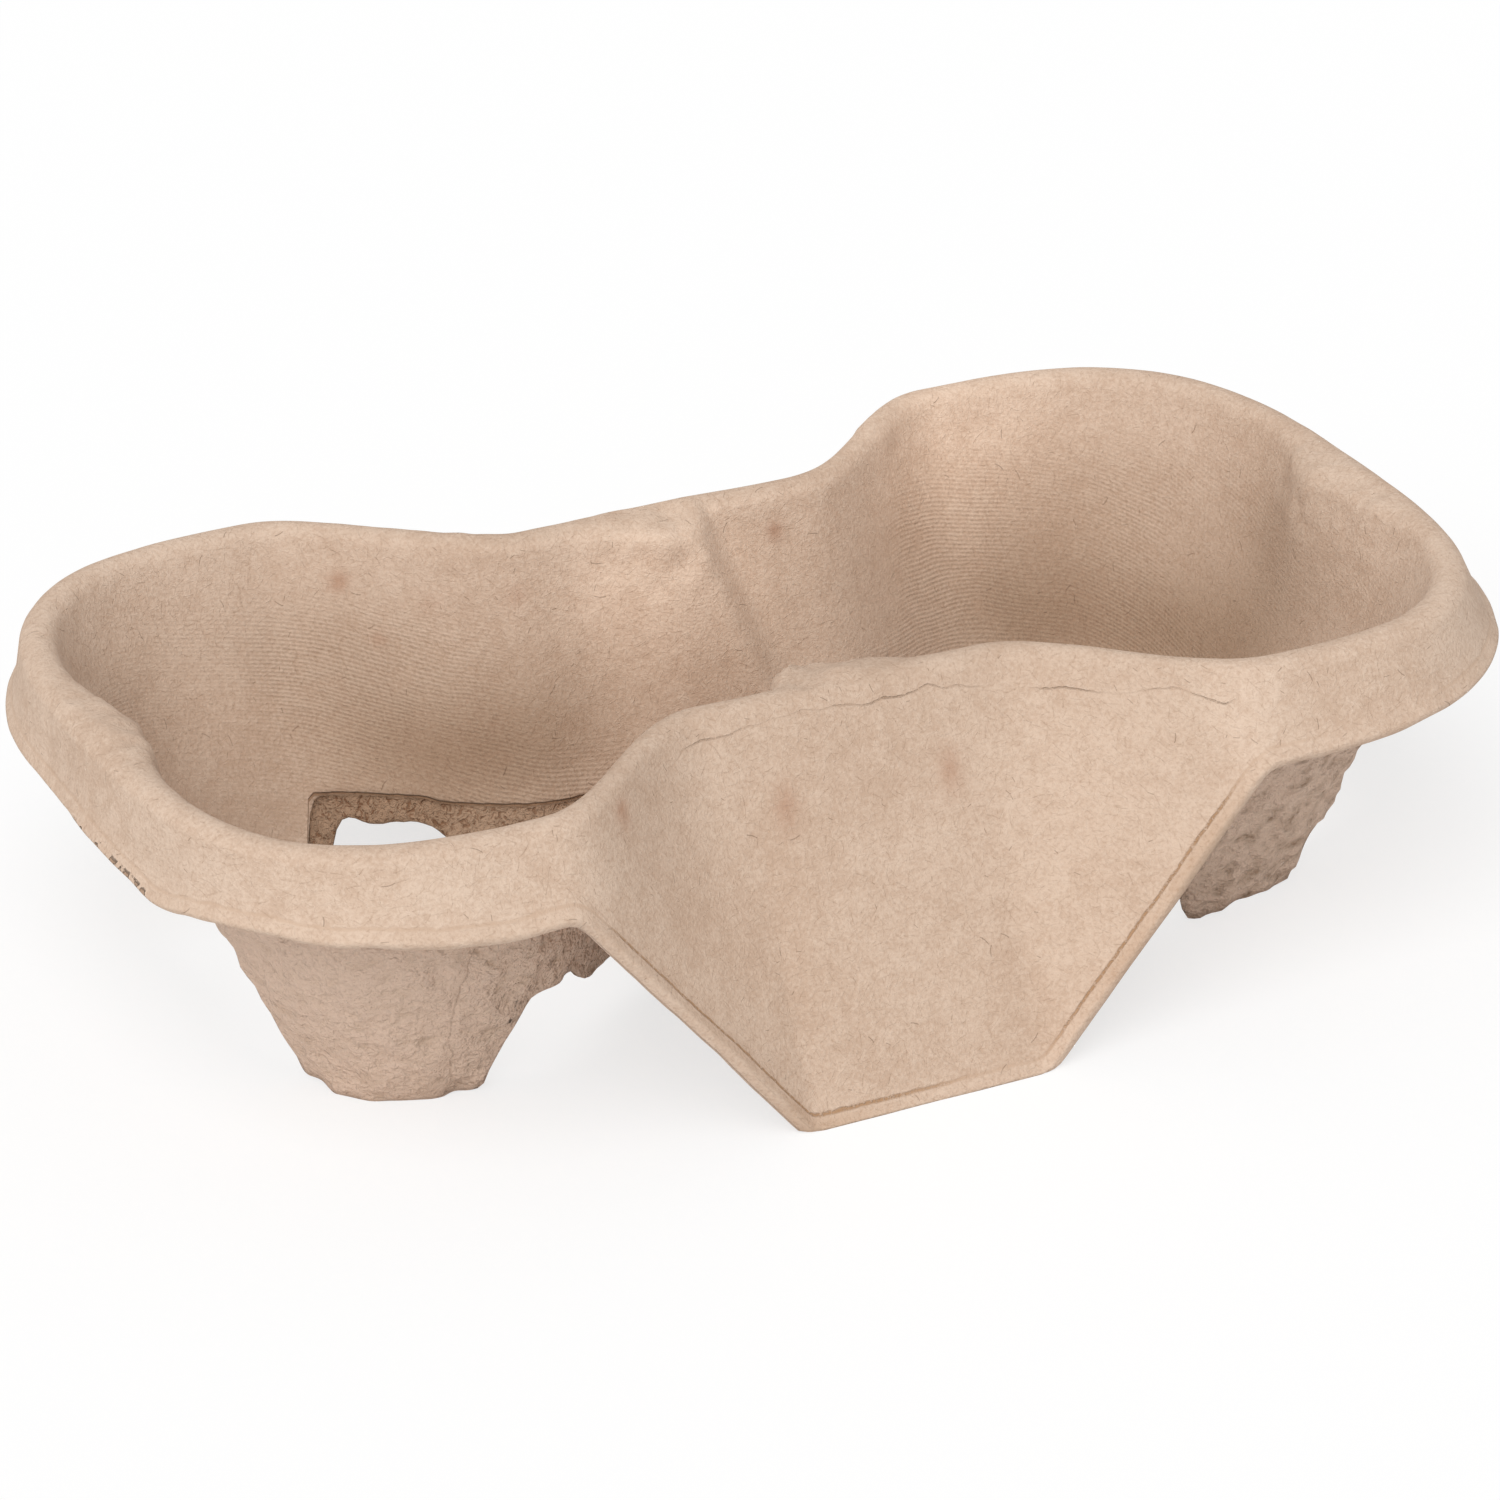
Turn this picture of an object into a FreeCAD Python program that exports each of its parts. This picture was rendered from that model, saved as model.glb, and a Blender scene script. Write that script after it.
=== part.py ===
import FreeCAD, Part
import math
import os

# Two-cup carrier tray, moulded as one piece of paper pulp. Millimetres, +Z up.
# The origin is on the table under the middle of the overall length and width, X runs along the tray.
# One pulp sheet rises from the skirt's lower edge over a planar rounded rim and falls
# inside as drafted pocket walls. Both pockets have no bottom: each wall ends in two
# corner legs with windows between them. A trough with a floor joins the two pockets.
# The skirt dips to the table at the middle of each long side as a slanted side panel.
# Apart from the skirt's reach at the two ends, the tray repeats after half a turn about the
# vertical through the middle of its waist.

SIZES = (
    ("rim_height", 54.0),
    ("sheet", 2.0),
    ("rim_radius", 3.2),
    ("crest_half_length", 100.0),
    ("lobe_half_width", 51.4),
    ("waist_half_width", 31.0),
    ("waist_turn_start", 22.0),
    ("waist_turn_end", 56.0),
    ("lobe_start", 57.0),
    ("lobe_power", 3.0),
    ("lobe_shift", 1.05),
    ("lobe_skew", 0.04),
    ("skirt_reach_left", 5.4),
    ("skirt_reach_right", 8.4),
    ("skirt_reach_side", 8.2),
    ("skirt_power", 2.5),
    ("skirt_drop", 11.3),
    ("skirt_lip", 0.9),
    ("panel_top_half", 52.0),
    ("panel_foot_half", 18.3),
    ("panel_arch_blend", 3.0),
    ("foot_half_length", 78.0),
    ("foot_half_width", 27.5),
    ("foot_lobe_start", 60.0),
    ("foot_skew", 0.1),
    ("trough_half_width", 12.0),
    ("trough_height", 10.0),
    ("trough_half_length", 39.5),
    ("trough_floor_half", 22.0),
    ("window_height", 13.0),
    ("end_window_height", 18.0),
    ("near_leg_inner", 53.0),
    ("far_leg_inner", 54.5),
    ("near_leg_side", 15.0),
    ("near_leg_side_run", 5.0),
    ("far_leg_side", 24.0),
    ("far_leg_side_run", 12.0),
    ("window_side_run", 3.0),
    ("torn_edge", 1.6),
    ("waist_ledge", 6.0),
    ("waist_ledge_start", 17.0),
    ("waist_ledge_stop", 4.0),
    ("ledge_step", 8.0),
    ("ledge_foot_share", 0.7),
    ("end_ledge", 5.0),
    ("end_ledge_start", 30.0),
    ("end_ledge_stop", 4.0),
    ("trim", 4.0),
)

# Stations round the ring, in each quarter: along the long side, then round the lobe.
LONG_STATIONS = 24
LOBE_STATIONS = 26
# Fine steps along a lobe, and how they crowd towards its side, for spacing the stations.
LOBE_STEPS = 2000
LOBE_CROWDING = 1.5
# Rows of the section, as shares of the wall's or the skirt's straight run.
WALL_ROWS = (0.0, 0.06, 0.25, 0.5, 0.75, 0.9)
SKIRT_ROWS = (0.08, 0.3, 0.6, 0.85)
# Angles round the rim, from level on the inside to level on the outside, and how much
# of a ledge each takes up.
RIM_ANGLES = (24.0, 50.0, 76.0, 104.0, 130.0, 148.0)
RIM_STEP = 26.0
LEDGE_SHARES = (1.0, 0.8, 0.25, 0.0, 0.0, 0.0)
# Waves of the torn edge, in radians per millimetre along X and Y.
TEAR_WAVES = ((0.9, 0.5), (0.41, -0.77))


def make_sheet(doc):
    """The driving sizes, one named cell each."""
    sheet = doc.addObject("Spreadsheet::Sheet", "Sizes")
    for row, (alias, value) in enumerate(SIZES, start=1):
        sheet.set("A%d" % row, alias)
        sheet.set("B%d" % row, str(value))
        sheet.setAlias("B%d" % row, alias)
    doc.recompute()
    return sheet


def smooth(u):
    """A smooth step from 0 to 1 as u runs from 0 to 1."""
    u = min(1.0, max(0.0, u))
    return u * u * (3.0 - 2.0 * u)


def soft_min(a, b, blend):
    """The smaller of two lengths, rounded over the blend where they cross."""
    k = max(blend - abs(a - b), 0.0) / blend
    return min(a, b) - k * k * blend / 4.0


def waist_swell(x, size):
    """0 at the waist, growing to 1 where a lobe has its full width."""
    return smooth((abs(x) - size.waist_turn_start) / (size.waist_turn_end - size.waist_turn_start))


def lobe_point(t, start, end, half_width, power):
    """A point on a lobe's rounded outline; t runs from a quarter turn at its side to 0 at its end."""
    x = start + (end - start) * math.cos(t) ** (2.0 / power)
    return x, half_width * max(math.sin(t), 0.0) ** (2.0 / power)


def quarter_outlines(size, end_reach):
    """Matching points of the crest, the wall's foot and the skirt's edge, in the +X +Y quarter."""
    stations = []
    side = size.lobe_half_width + size.skirt_reach_side
    end = size.crest_half_length + end_reach
    for i in range(LONG_STATIONS):
        x = size.lobe_start * i / LONG_STATIONS
        swell = waist_swell(x, size)
        crest = (x, size.waist_half_width + (size.lobe_half_width - size.waist_half_width) * swell)
        foot_y = size.trough_half_width + (size.foot_half_width - size.trough_half_width) * swell
        foot = (x * size.foot_lobe_start / size.lobe_start, foot_y)
        stations.append((crest, foot, (x, side)))

    def lobe(t):
        power = size.lobe_power
        crest = lobe_point(t, size.lobe_start, size.crest_half_length, size.lobe_half_width, power)
        foot = lobe_point(t, size.foot_lobe_start, size.foot_half_length, size.foot_half_width, power)
        edge = lobe_point(t, size.lobe_start, end, side, size.skirt_power)
        return crest, foot, edge

    quarter_turn = 0.5 * math.pi
    shares = [(i / LOBE_STEPS) ** LOBE_CROWDING for i in range(LOBE_STEPS + 1)]
    rings = [lobe(quarter_turn * (1.0 - share)) for share in shares]
    lengths = [0.0]
    for a, b in zip(rings, rings[1:]):
        lengths.append(lengths[-1] + math.dist(a[0], b[0]) + math.dist(a[1], b[1]))
    for i in range(LOBE_STATIONS + 1):
        goal = lengths[-1] * i / LOBE_STATIONS
        nearest = min(range(LOBE_STEPS + 1), key=lambda k: abs(lengths[k] - goal))
        stations.append(rings[nearest])
    return stations


def leaned(station, size):
    """A station moved with its lobe, which sits a little to one side and leans."""
    x_crest = station[0][0]
    swell = waist_swell(x_crest, size)
    shift = math.copysign(size.lobe_shift, x_crest) * swell
    skews = (size.lobe_skew, size.foot_skew, size.lobe_skew)
    return [(x - skew * y * swell, y - shift) for (x, y), skew in zip(station, skews)]


def ring_outlines(size):
    """All stations, once round the tray, starting at the middle of the +Y side."""
    right = quarter_outlines(size, size.skirt_reach_right)
    left = quarter_outlines(size, size.skirt_reach_left)

    def flipped(points, sx, sy):
        return [tuple((sx * x, sy * y) for x, y in station) for station in points]

    ring = flipped(right, 1, 1)
    ring += flipped(right[-2::-1], 1, -1)
    ring += flipped(left[1:], -1, -1)
    ring += flipped(left[-2:0:-1], -1, 1)
    return [leaned(station, size) for station in ring]


def edge_height(x, y, size):
    """Height of the skirt's lower edge: level round the lobes, down to the table at each panel."""
    level = size.rim_height - size.skirt_drop
    if abs(y) < size.lobe_half_width:
        return level
    slope = level / (size.panel_top_half - size.panel_foot_half)
    slant = (abs(x) - size.panel_foot_half) * slope
    return max(soft_min(level, slant, size.panel_arch_blend), -size.trim)


def carried_on(start, end, height):
    """The point at a height on the line from a start down to an end, or past that end."""
    return start + (end - start) * ((start.z - height) / (start.z - end.z))


def wall_end_height(x, y, size):
    """Height at which the pocket wall ends, for a place on the wall's foot outline."""
    if x < 0.0:
        x, y = -x, -y
    # Now on the +X pocket, whose -Y leg starts further out than its +Y leg.
    if y < 0.0:
        inner, side, side_run = size.far_leg_inner, size.far_leg_side, size.far_leg_side_run
    else:
        inner, side, side_run = size.near_leg_inner, size.near_leg_side, size.near_leg_side_run
    run = size.window_side_run
    waves = [math.sin(a * x + b * y) for a, b in TEAR_WAVES]
    torn = size.torn_edge * 0.5 * (1.0 + waves[0] * waves[1])
    past_trough = smooth((x - size.trough_half_length) / run)
    height = size.trough_height + (size.window_height + torn - size.trough_height) * past_trough
    height -= (height + size.trim) * smooth((x - inner) / run)
    on_end = smooth((side - abs(y)) / side_run) * smooth((x - size.foot_lobe_start) / side_run)
    return height + (size.end_window_height + torn - height) * on_end


def waist_ledge_width(x, y, size):
    """How far the wall's top stands in from the rim along the waist, for a place on the crest."""
    if y < 0.0:
        x, y = -x, -y
    # The long +Y side carries its ledge up to just past the middle, where it falls back.
    if abs(x) > size.lobe_start:
        return 0.0
    rise = (x + size.waist_ledge_start) / (size.waist_ledge_start + size.waist_ledge_stop)
    left = 1.0 - (x - size.waist_ledge_stop) / size.ledge_step
    return size.waist_ledge * min(1.0, max(0.0, min(rise, left)))


def end_ledge_width(x, y, size):
    """The same on the two ends, where the ledge widens towards +Y at +X."""
    if x < 0.0:
        x, y = -x, -y
    if x < size.foot_half_length:
        return 0.0
    rise = (y + size.end_ledge_start) / (size.end_ledge_start + size.end_ledge_stop)
    drop = smooth((y - size.end_ledge_stop) / size.ledge_step)
    return size.end_ledge * smooth(rise) * (1.0 - drop)


def section_row(station, size):
    """Points of the sheet's upper skin at one station, from the wall's end to the skirt's edge."""
    crest, foot, edge = (FreeCAD.Vector(p[0], p[1], 0.0) for p in station)
    inward = (foot - crest).normalize()
    outward = (edge - crest).normalize()
    ledge = waist_ledge_width(crest.x, crest.y, size) + end_ledge_width(crest.x, crest.y, size)
    # Poles sit a little outside the arc, so that the smooth skin lies on it.
    pole_radius = size.rim_radius * (1.0 + math.radians(RIM_STEP) ** 2 / 6.0)
    centre_height = size.rim_height - size.rim_radius
    rim = []
    for angle, share in zip(RIM_ANGLES, LEDGE_SHARES):
        reach = pole_radius * math.cos(math.radians(angle))
        rise = pole_radius * math.sin(math.radians(angle))
        way = inward * (reach + ledge * share) if angle < 90.0 else outward * -reach
        rim.append(crest + way + FreeCAD.Vector(0, 0, centre_height + rise))

    wall_top = rim[0]
    wall_foot = foot + inward * (ledge * size.ledge_foot_share)
    end_height = wall_end_height(foot.x, foot.y, size)
    wall_end = carried_on(wall_top, wall_foot, end_height)
    wall = [wall_end + (wall_top - wall_end) * share for share in WALL_ROWS]

    skirt_top = rim[-1]
    skirt_height = edge_height(edge.x, edge.y, size)
    skirt_end = edge + FreeCAD.Vector(0, 0, max(skirt_height, 0.0))
    skirt_end = carried_on(skirt_top, skirt_end, skirt_height)
    skirt = [skirt_top + (skirt_end - skirt_top) * share for share in SKIRT_ROWS]
    skirt_end += outward * size.skirt_lip
    return wall + rim + skirt + [skirt_end]


def skin_normals(rows):
    """Unit normals of the upper skin, pointing away from the pulp."""
    count = len(rows)
    normals = []
    for i, row in enumerate(rows):
        ahead = rows[(i + 1) % count]
        behind = rows[i - 1]
        line = []
        for j in range(len(row)):
            along = ahead[j] - behind[j]
            across = row[min(j + 1, len(row) - 1)] - row[max(j - 1, 0)]
            line.append(along.cross(across).normalize())
        normals.append(line)
    return normals


def ring_face(rows, degree):
    """A face through rows of poles, closed round the ring; each row runs across it."""
    count = len(rows)
    width = len(rows[0])
    inner_knots = width - degree - 1
    face = Part.BSplineSurface()
    face.buildFromPolesMultsKnots(
        rows,
        [1] * (count + 1),
        [degree + 1] + [1] * inner_knots + [degree + 1],
        [float(i) for i in range(count + 1)],
        [float(i) for i in range(inner_knots + 2)],
        True,
        False,
        3,
        degree,
    )
    return face.toShape()


def sheet_ring(size):
    """The whole moulded ring: skirt, rim and walls, with an upper skin, a lower skin and two edges."""
    upper = [section_row(station, size) for station in ring_outlines(size)]
    normals = skin_normals(upper)
    lower = [
        [point - normal * size.sheet for point, normal in zip(row, line)]
        for row, line in zip(upper, normals)
    ]
    faces = [
        ring_face(upper, 3),
        ring_face(lower, 3),
        ring_face([[a[0], b[0]] for a, b in zip(upper, lower)], 1),
        ring_face([[a[-1], b[-1]] for a, b in zip(upper, lower)], 1),
    ]
    shell = Part.Shell(faces)
    shell.sewShape()
    solid = Part.Solid(shell)
    if solid.Volume < 0.0:
        solid.reverse()
    return solid


def trough_floor(size):
    """The flat floor between the trough's walls, its sides in the middle of each wall."""
    side = []
    for station in ring_outlines(size):
        crest = station[0]
        if crest[1] > 0.0 and abs(crest[0]) <= size.trough_floor_half:
            row = section_row(station, size)
            wall_end = row[0]
            wall = row[len(WALL_ROWS)] - wall_end
            share = (size.trough_height + 0.5 * size.sheet - wall_end.z) / wall.z
            inner = wall_end + wall * share
            side.append(FreeCAD.Vector(inner.x, inner.y + 0.5 * size.sheet, size.trough_height))
    side.sort(key=lambda point: point.x)
    other = [FreeCAD.Vector(-point.x, -point.y, point.z) for point in side]
    outline = Part.makePolygon(side + other + side[:1])
    return Part.Face(outline).extrude(FreeCAD.Vector(0, 0, size.sheet))


class Sizes:
    """The sheet's cells as plain attributes, for the ring's own functions."""

    def __init__(self, sheet):
        for alias, _ in SIZES:
            setattr(self, alias, float(getattr(sheet, alias)))


def bind(item, **formulas):
    """Tie properties of an object to cells of the sheet."""
    for name, formula in formulas.items():
        item.setExpression(name.replace("__", "."), formula)


def make_tray(doc, sheet):
    """The ring, the trough's floor, and the trim that makes the feet stand flat."""
    size = Sizes(sheet)
    ring = doc.addObject("Part::Feature", "pulp_ring")
    ring.Shape = sheet_ring(size)
    floor = doc.addObject("Part::Feature", "trough_floor")
    floor.Shape = trough_floor(size)
    joined = doc.addObject("Part::Fuse", "ring_and_floor")
    joined.Base = ring
    joined.Tool = floor

    below = doc.addObject("Part::Box", "below_the_table")
    reach = "(Sizes.crest_half_length + Sizes.skirt_reach_right + 5 * Sizes.sheet)"
    bind(
        below,
        Length="2 * " + reach,
        Width="2 * " + reach,
        Height="10 * Sizes.trim",
        Placement__Base__x="-" + reach,
        Placement__Base__y="-" + reach,
        Placement__Base__z="-10 * Sizes.trim",
    )
    tray = doc.addObject("Part::Cut", "pulp_tray")
    tray.Base = joined
    tray.Tool = below
    tray.Label = "pulp_tray"
    # The skirt reaches further out at one end, so the waist sits beside the middle of the length.
    bind(tray, Placement__Base__x="(Sizes.skirt_reach_left - Sizes.skirt_reach_right) / 2")
    return tray


def check(doc, parts):
    """Stop on any failed object, and on any part that is empty or not valid."""
    for item in doc.Objects:
        if "Invalid" in item.State or "Error" in item.State:
            raise RuntimeError("failed: " + item.Name)
    for part in parts:
        if part.Shape.isNull() or not part.Shape.isValid():
            raise RuntimeError("not a valid shape: " + part.Label)


def main():
    doc = FreeCAD.newDocument("cup_carrier")
    sheet = make_sheet(doc)
    parts = [make_tray(doc, sheet)]
    doc.recompute()
    check(doc, parts)
    os.makedirs("parts", exist_ok=True)
    for part in parts:
        box = part.Shape.optimalBoundingBox()
        print(part.Label, "solids", len(part.Shape.Solids), "volume", round(part.Shape.Volume, 1))
        print("  x", round(box.XMin, 2), round(box.XMax, 2), "y", round(box.YMin, 2), round(box.YMax, 2),
              "z", round(box.ZMin, 2), round(box.ZMax, 2))
        part.Shape.exportStep("parts/%s.step" % part.Label)


main()
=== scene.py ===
import math
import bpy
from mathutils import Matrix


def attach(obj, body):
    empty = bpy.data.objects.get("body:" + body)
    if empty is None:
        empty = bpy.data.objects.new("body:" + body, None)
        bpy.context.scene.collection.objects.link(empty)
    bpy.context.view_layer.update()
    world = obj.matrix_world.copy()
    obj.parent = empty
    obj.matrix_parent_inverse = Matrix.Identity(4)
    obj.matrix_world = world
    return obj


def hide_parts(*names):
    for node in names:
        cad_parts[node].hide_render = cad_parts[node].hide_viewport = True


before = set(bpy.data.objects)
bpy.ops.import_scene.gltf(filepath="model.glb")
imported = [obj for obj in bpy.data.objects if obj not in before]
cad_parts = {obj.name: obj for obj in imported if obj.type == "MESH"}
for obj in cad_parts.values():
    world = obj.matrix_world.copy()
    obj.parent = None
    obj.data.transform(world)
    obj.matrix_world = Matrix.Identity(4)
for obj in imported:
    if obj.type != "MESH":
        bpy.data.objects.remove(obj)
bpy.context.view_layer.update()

from types import SimpleNamespace

import bpy
import numpy as np
from bpy.props import FloatProperty, FloatVectorProperty, PointerProperty
from mathutils import Matrix, Vector

# Dress of the two-cup carrier tray: one sheet of moulded paper pulp, on a plain white studio floor.
# Shapes are worked out in millimetres on the table, +Z up and X along the tray, and go into
# the meshes in metres. The tray's own outlines repeat the ones its solid is made from.

bl_info = {
    "name": "Two-cup carrier tray",
    "version": (1, 0, 0),
    "blender": (4, 5, 0),
    "location": "3D View > Sidebar > Cup carrier",
    "description": "Moulded pulp tray for two cups, with its finish and a studio floor",
    "category": "Object",
}

METRES = 0.001

# Stations round the ring, in each quarter: along the long side, then round the lobe.
LONG_STATIONS = 76
LOBE_STATIONS = 114
LOBE_STEPS = 4000

# Rows across the sheet's upper skin: the torn band under the crisp line, the wall over it, the
# rim's arc in degrees, and the skirt as shares of its run and as gaps from its edge.
TORN_ROWS = 8
WALL_ROWS = 30
RIM_FROM, RIM_TO = 24.0, 148.0
RIM_ROWS = 12
SKIRT_SHARES = (0.07, 0.15, 0.24, 0.34, 0.44, 0.54, 0.64, 0.74, 0.84, 0.93)
EDGE_GAPS = (3.2, 2.6, 2.25, 1.95, 1.3, 0.8, 0.35, 0.0)
# The same on the rougher lower skin.
LOWER_WALL_ROWS = 34
LOWER_RIM_ROWS = 6
LOWER_SKIRT_SHARES = (0.12, 0.25, 0.38, 0.52, 0.66, 0.8, 0.92)
LOWER_EDGE_GAPS = (2.4, 1.2, 0.5, 0.0)
# Stations along the trough's floor and rows across it.
TROUGH_STATIONS, TROUGH_ROWS = 44, 26
# How much of a ledge's width the rim takes up, by angle.
LEDGE_ANGLES = (24.0, 50.0, 76.0, 104.0)
LEDGE_SHARES = (1.0, 0.8, 0.25, 0.0)

# Places of single marks, in millimetres before the tray is centred over its box. The crack under the
# front of the rim as X and height, and the one down the front left leg as X and height.
RIM_CRACK = np.array((
    (-30.0, 49.6), (-27.3, 50.6), (-21.4, 50.8), (-15.3, 51.5), (-9.3, 51.9), (-4.4, 51.7), (1.1, 50.9),
    (5.5, 51.1), (9.9, 51.2), (12.0, 51.8), (14.4, 50.9), (20.4, 49.9), (26.0, 48.8), (30.6, 49.2),
    (34.6, 49.0), (38.8, 49.6), (43.4, 50.6), (49.1, 49.3), (51.2, 50.2), (56.7, 50.3), (62.3, 49.9),
    (65.3, 51.0),
))
LEG_CRACK = np.array((
    (-61.3, 3.0), (-61.3, 7.2), (-62.3, 12.7), (-62.5, 17.9), (-62.3, 22.0), (-61.4, 25.8),
    (-61.6, 29.3), (-61.0, 31.5),
))
# Hollows in the torn part of that leg: centre, depth and radius.
LEG_HOLLOWS = (
    ((-56.3, -39.7, 27.6), 1.0, 2.2), ((-55.1, -35.8, 18.0), 1.2, 2.6), ((-58.8, -34.5, 14.7), 0.8, 2.0),
    ((-56.0, -30.9, 5.9), 1.0, 2.2), ((-57.8, -37.4, 22.0), 0.7, 1.6), ((59.0, -36.5, 14.0), 1.3, 2.6),
    ((62.5, -38.5, 20.5), 0.9, 2.2), ((66.0, -35.0, 9.0), 0.9, 2.4),
)
# Nicks in the feet: centre on the table, height and radius.
LEG_NICKS = (
    ((70.0, -26.0, 0.0), 1.7, 12.0), ((-78.5, -16.0, 0.0), 3.0, 6.0), ((-55.5, -22.0, 0.0), 2.0, 3.0),
    ((-60.0, -26.0, 0.0), 0.9, 3.0),
)
# Where a window's torn edge is higher: centre on the table, height and radius.
WINDOW_LIFTS = (
    ((-37.0, -14.0, 0.0), 2.0, 7.0),
)
# Lumps of loose pulp on the ledges: centre, height and radius.
UPPER_LUMPS = (
    ((-97.6, 10.3, 53.0), 0.5, 4.0), ((-95.0, 3.2, 52.0), 0.7, 4.0), ((-97.2, -4.5, 52.6), 0.4, 4.0),
    ((-8.0, 28.1, 52.5), 0.4, 4.0), ((5.0, 28.6, 53.0), 0.4, 3.5), ((94.8, 6.0, 52.5), 0.5, 4.0),
    ((93.2, -1.1, 51.6), 0.4, 4.0), ((-4.9, -25.5, 52.3), 0.8, 4.0), ((0.5, -27.0, 53.0), 0.6, 3.5),
    ((-31.9, 32.5, 51.0), 0.5, 5.0), ((-40.6, 38.8, 50.8), 0.4, 5.0), ((42.0, 42.0, 51.5), 0.4, 4.0),
)
# Reddish blotches, and patches of painted shade low in the pockets: centre, strength and radius.
BLOTCHES = (
    ((-12.9, -39.1, 41.8), 1.1, 1.8), ((-41.4, -47.6, 50.5), 0.9, 1.6), ((16.8, 26.7, 48.0), 0.9, 1.4),
    ((12.8, -39.7, 40.6), 0.6, 1.8), ((16.1, -41.1, 37.8), 0.5, 1.5), ((-47.6, 42.5, 46.8), 0.8, 1.5),
    ((-43.8, 36.5, 39.0), 0.5, 1.1), ((-25.4, 26.8, 46.4), 0.4, 1.5), ((-36.8, 33.1, 44.8), 0.25, 1.6),
)
SHADE_PATCHES = (
    ((-48.0, 33.0, 24.0), 0.34, 11.0), ((-39.0, 28.0, 21.0), 0.42, 11.0), ((-30.0, 23.0, 23.0), 0.42, 11.0),
    ((-22.0, 20.0, 26.0), 0.25, 10.0), ((-50.0, 40.0, 38.0), 0.16, 12.0), ((59.0, 35.0, 20.0), 0.40, 12.0),
    ((69.0, 30.0, 20.0), 0.40, 12.0), ((79.0, 22.0, 18.0), 0.42, 12.0), ((84.0, 12.0, 21.0), 0.42, 12.0),
    ((84.0, 0.0, 25.0), 0.40, 12.0), ((93.0, 4.0, 42.0), 0.34, 13.0), ((72.0, 34.0, 36.0), 0.15, 14.0),
)
# Places painted paler as painted light, where more light falls inside and on the front left: centre, gain and
# radius.
PAINTED_LIGHT_PLACES = (
    ((4.0, 24.0, 42.0), 0.8, 13.0), ((-12.0, 24.0, 44.0), 0.5, 11.0), ((40.0, 38.0, 44.0), 0.8, 17.0),
    ((60.0, 46.0, 46.0), 0.8, 16.0), ((-35.0, -42.0, 25.0), 0.25, 16.0), ((-80.0, -30.0, 18.0), 0.6, 18.0),
)
# Where the skirt is dented inward, hangs lower, is worn wavy and has slits: centre on the table, gain and radius.
SKIRT_DENTS = (((-104.0, -20.0, 0.0), 0.6, 17.0), ((-104.0, 9.0, 0.0), 1.3, 13.0))
LOW_EDGES = (((-103.0, -24.0, 0.0), 2.0, 12.0),)
WORN_EDGES = (((-98.0, -25.0, 0.0), 0.6, 28.0),)
SLIT_EDGES = (((-103.0, -14.0, 0.0), 1.0, 13.0),)

# Lattice of the lumps: cells each way and the seed of its numbers.
LATTICE = 64
LATTICE_SEED = 7
# Layers of lumps, each a gain, a pitch in millimetres and a seed.
TORN_WAVES = ((0.6, 3.1, 1), (0.4, 1.3, 2))
FOOT_WEAR = ((1.5, 3.4, 3),)
TORN_PITS = ((0.6, 1.8, 4),)
TORN_FRAY = ((0.35, 1.7, 10),)
SKIN_WAVES = ((0.15, 15.0, 5), (0.06, 4.0, 6))
LEDGE_CLODS = ((0.7, 5.0, 7), (0.45, 2.4, 17))
CLOD_BREAKS = ((0.8, 2.2, 18),)
LEG_RIDGES = ((1.0, 5.5, 8),)
LEG_CLODS = ((0.6, 2.6, 9),)
OUTER_WAVES = ((1.0, 8.0, 19), (0.4, 3.0, 16))
SHEET_SAG = ((0.35, 28.0, 11),)
EDGE_WAVES = ((0.45, 9.0, 30), (0.15, 3.4, 31))
RIM_CRACK_BENDS = ((0.35, 2.4, 20),)
RIM_CRACK_BREAKS = ((1.3, 6.0, 32),)
LEG_CRACK_BENDS = ((0.5, 2.0, 21),)
PRINT_PATCHES = ((1.0, 17.0, 22),)
CLOUDS = ((0.35, 23.0, 24), (0.3, 8.0, 25))
FLOOR_TEARS = ((0.7, 2.7, 12), (0.8, 6.0, 13))
FLOOR_WAVES = ((0.25, 6.0, 14), (0.12, 2.5, 15))

# Ends of the cracks and their widths, in millimetres. A crack is on the front half only.
FRONT = -20.0
RIM_CRACK_ENDS, RIM_CRACK_FADES, RIM_CRACK_DEPTH, RIM_CRACK_WIDTH = (-31.0, 67.0), (8.0, 10.0), 0.12, 0.6
LEG_CRACK_ENDS, LEG_CRACK_FADES, LEG_CRACK_DEPTH, LEG_CRACK_WIDTH = (1.0, 34.0), (4.0, 6.0), 0.5, 0.9
# Where the leg's crack runs, as X.
LEG_CRACK_AT = -63.0
# The far leg at the -X end goes this much further round the lobe, and its slope is this much shorter.
LEFT_LEG_FURTHER = 6.0
LEFT_LEG_STEEPER = 4.0
# The marks that the finish reads from the mesh, and what each is where nothing else is said. A gap is
# a distance in millimetres across a line, the others are shares.
NO_EDGE, NO_LINE, NO_CRACK = 99.0, 9.0, 4.0
MARKS = {
    "lower_skin": 0.0, "torn": 0.0, "line_gap": NO_LINE, "edge_gap": NO_EDGE, "panel": 0.0, "screen_print": 0.0,
    "leg_rough": 0.0, "crack_gap": NO_CRACK, "crack_gain": 0.0, "slit": 0.0, "stain": 0.0, "painted_shade": 0.0,
}
# Those of the trough's floor, which painted shade darkens as a recess between the walls.
FLOOR_MARKS = {"lower_skin": 0.5, "torn": 0.45, "leg_rough": 0.5, "painted_shade": 0.4, "cloud": 0.5}
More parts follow.
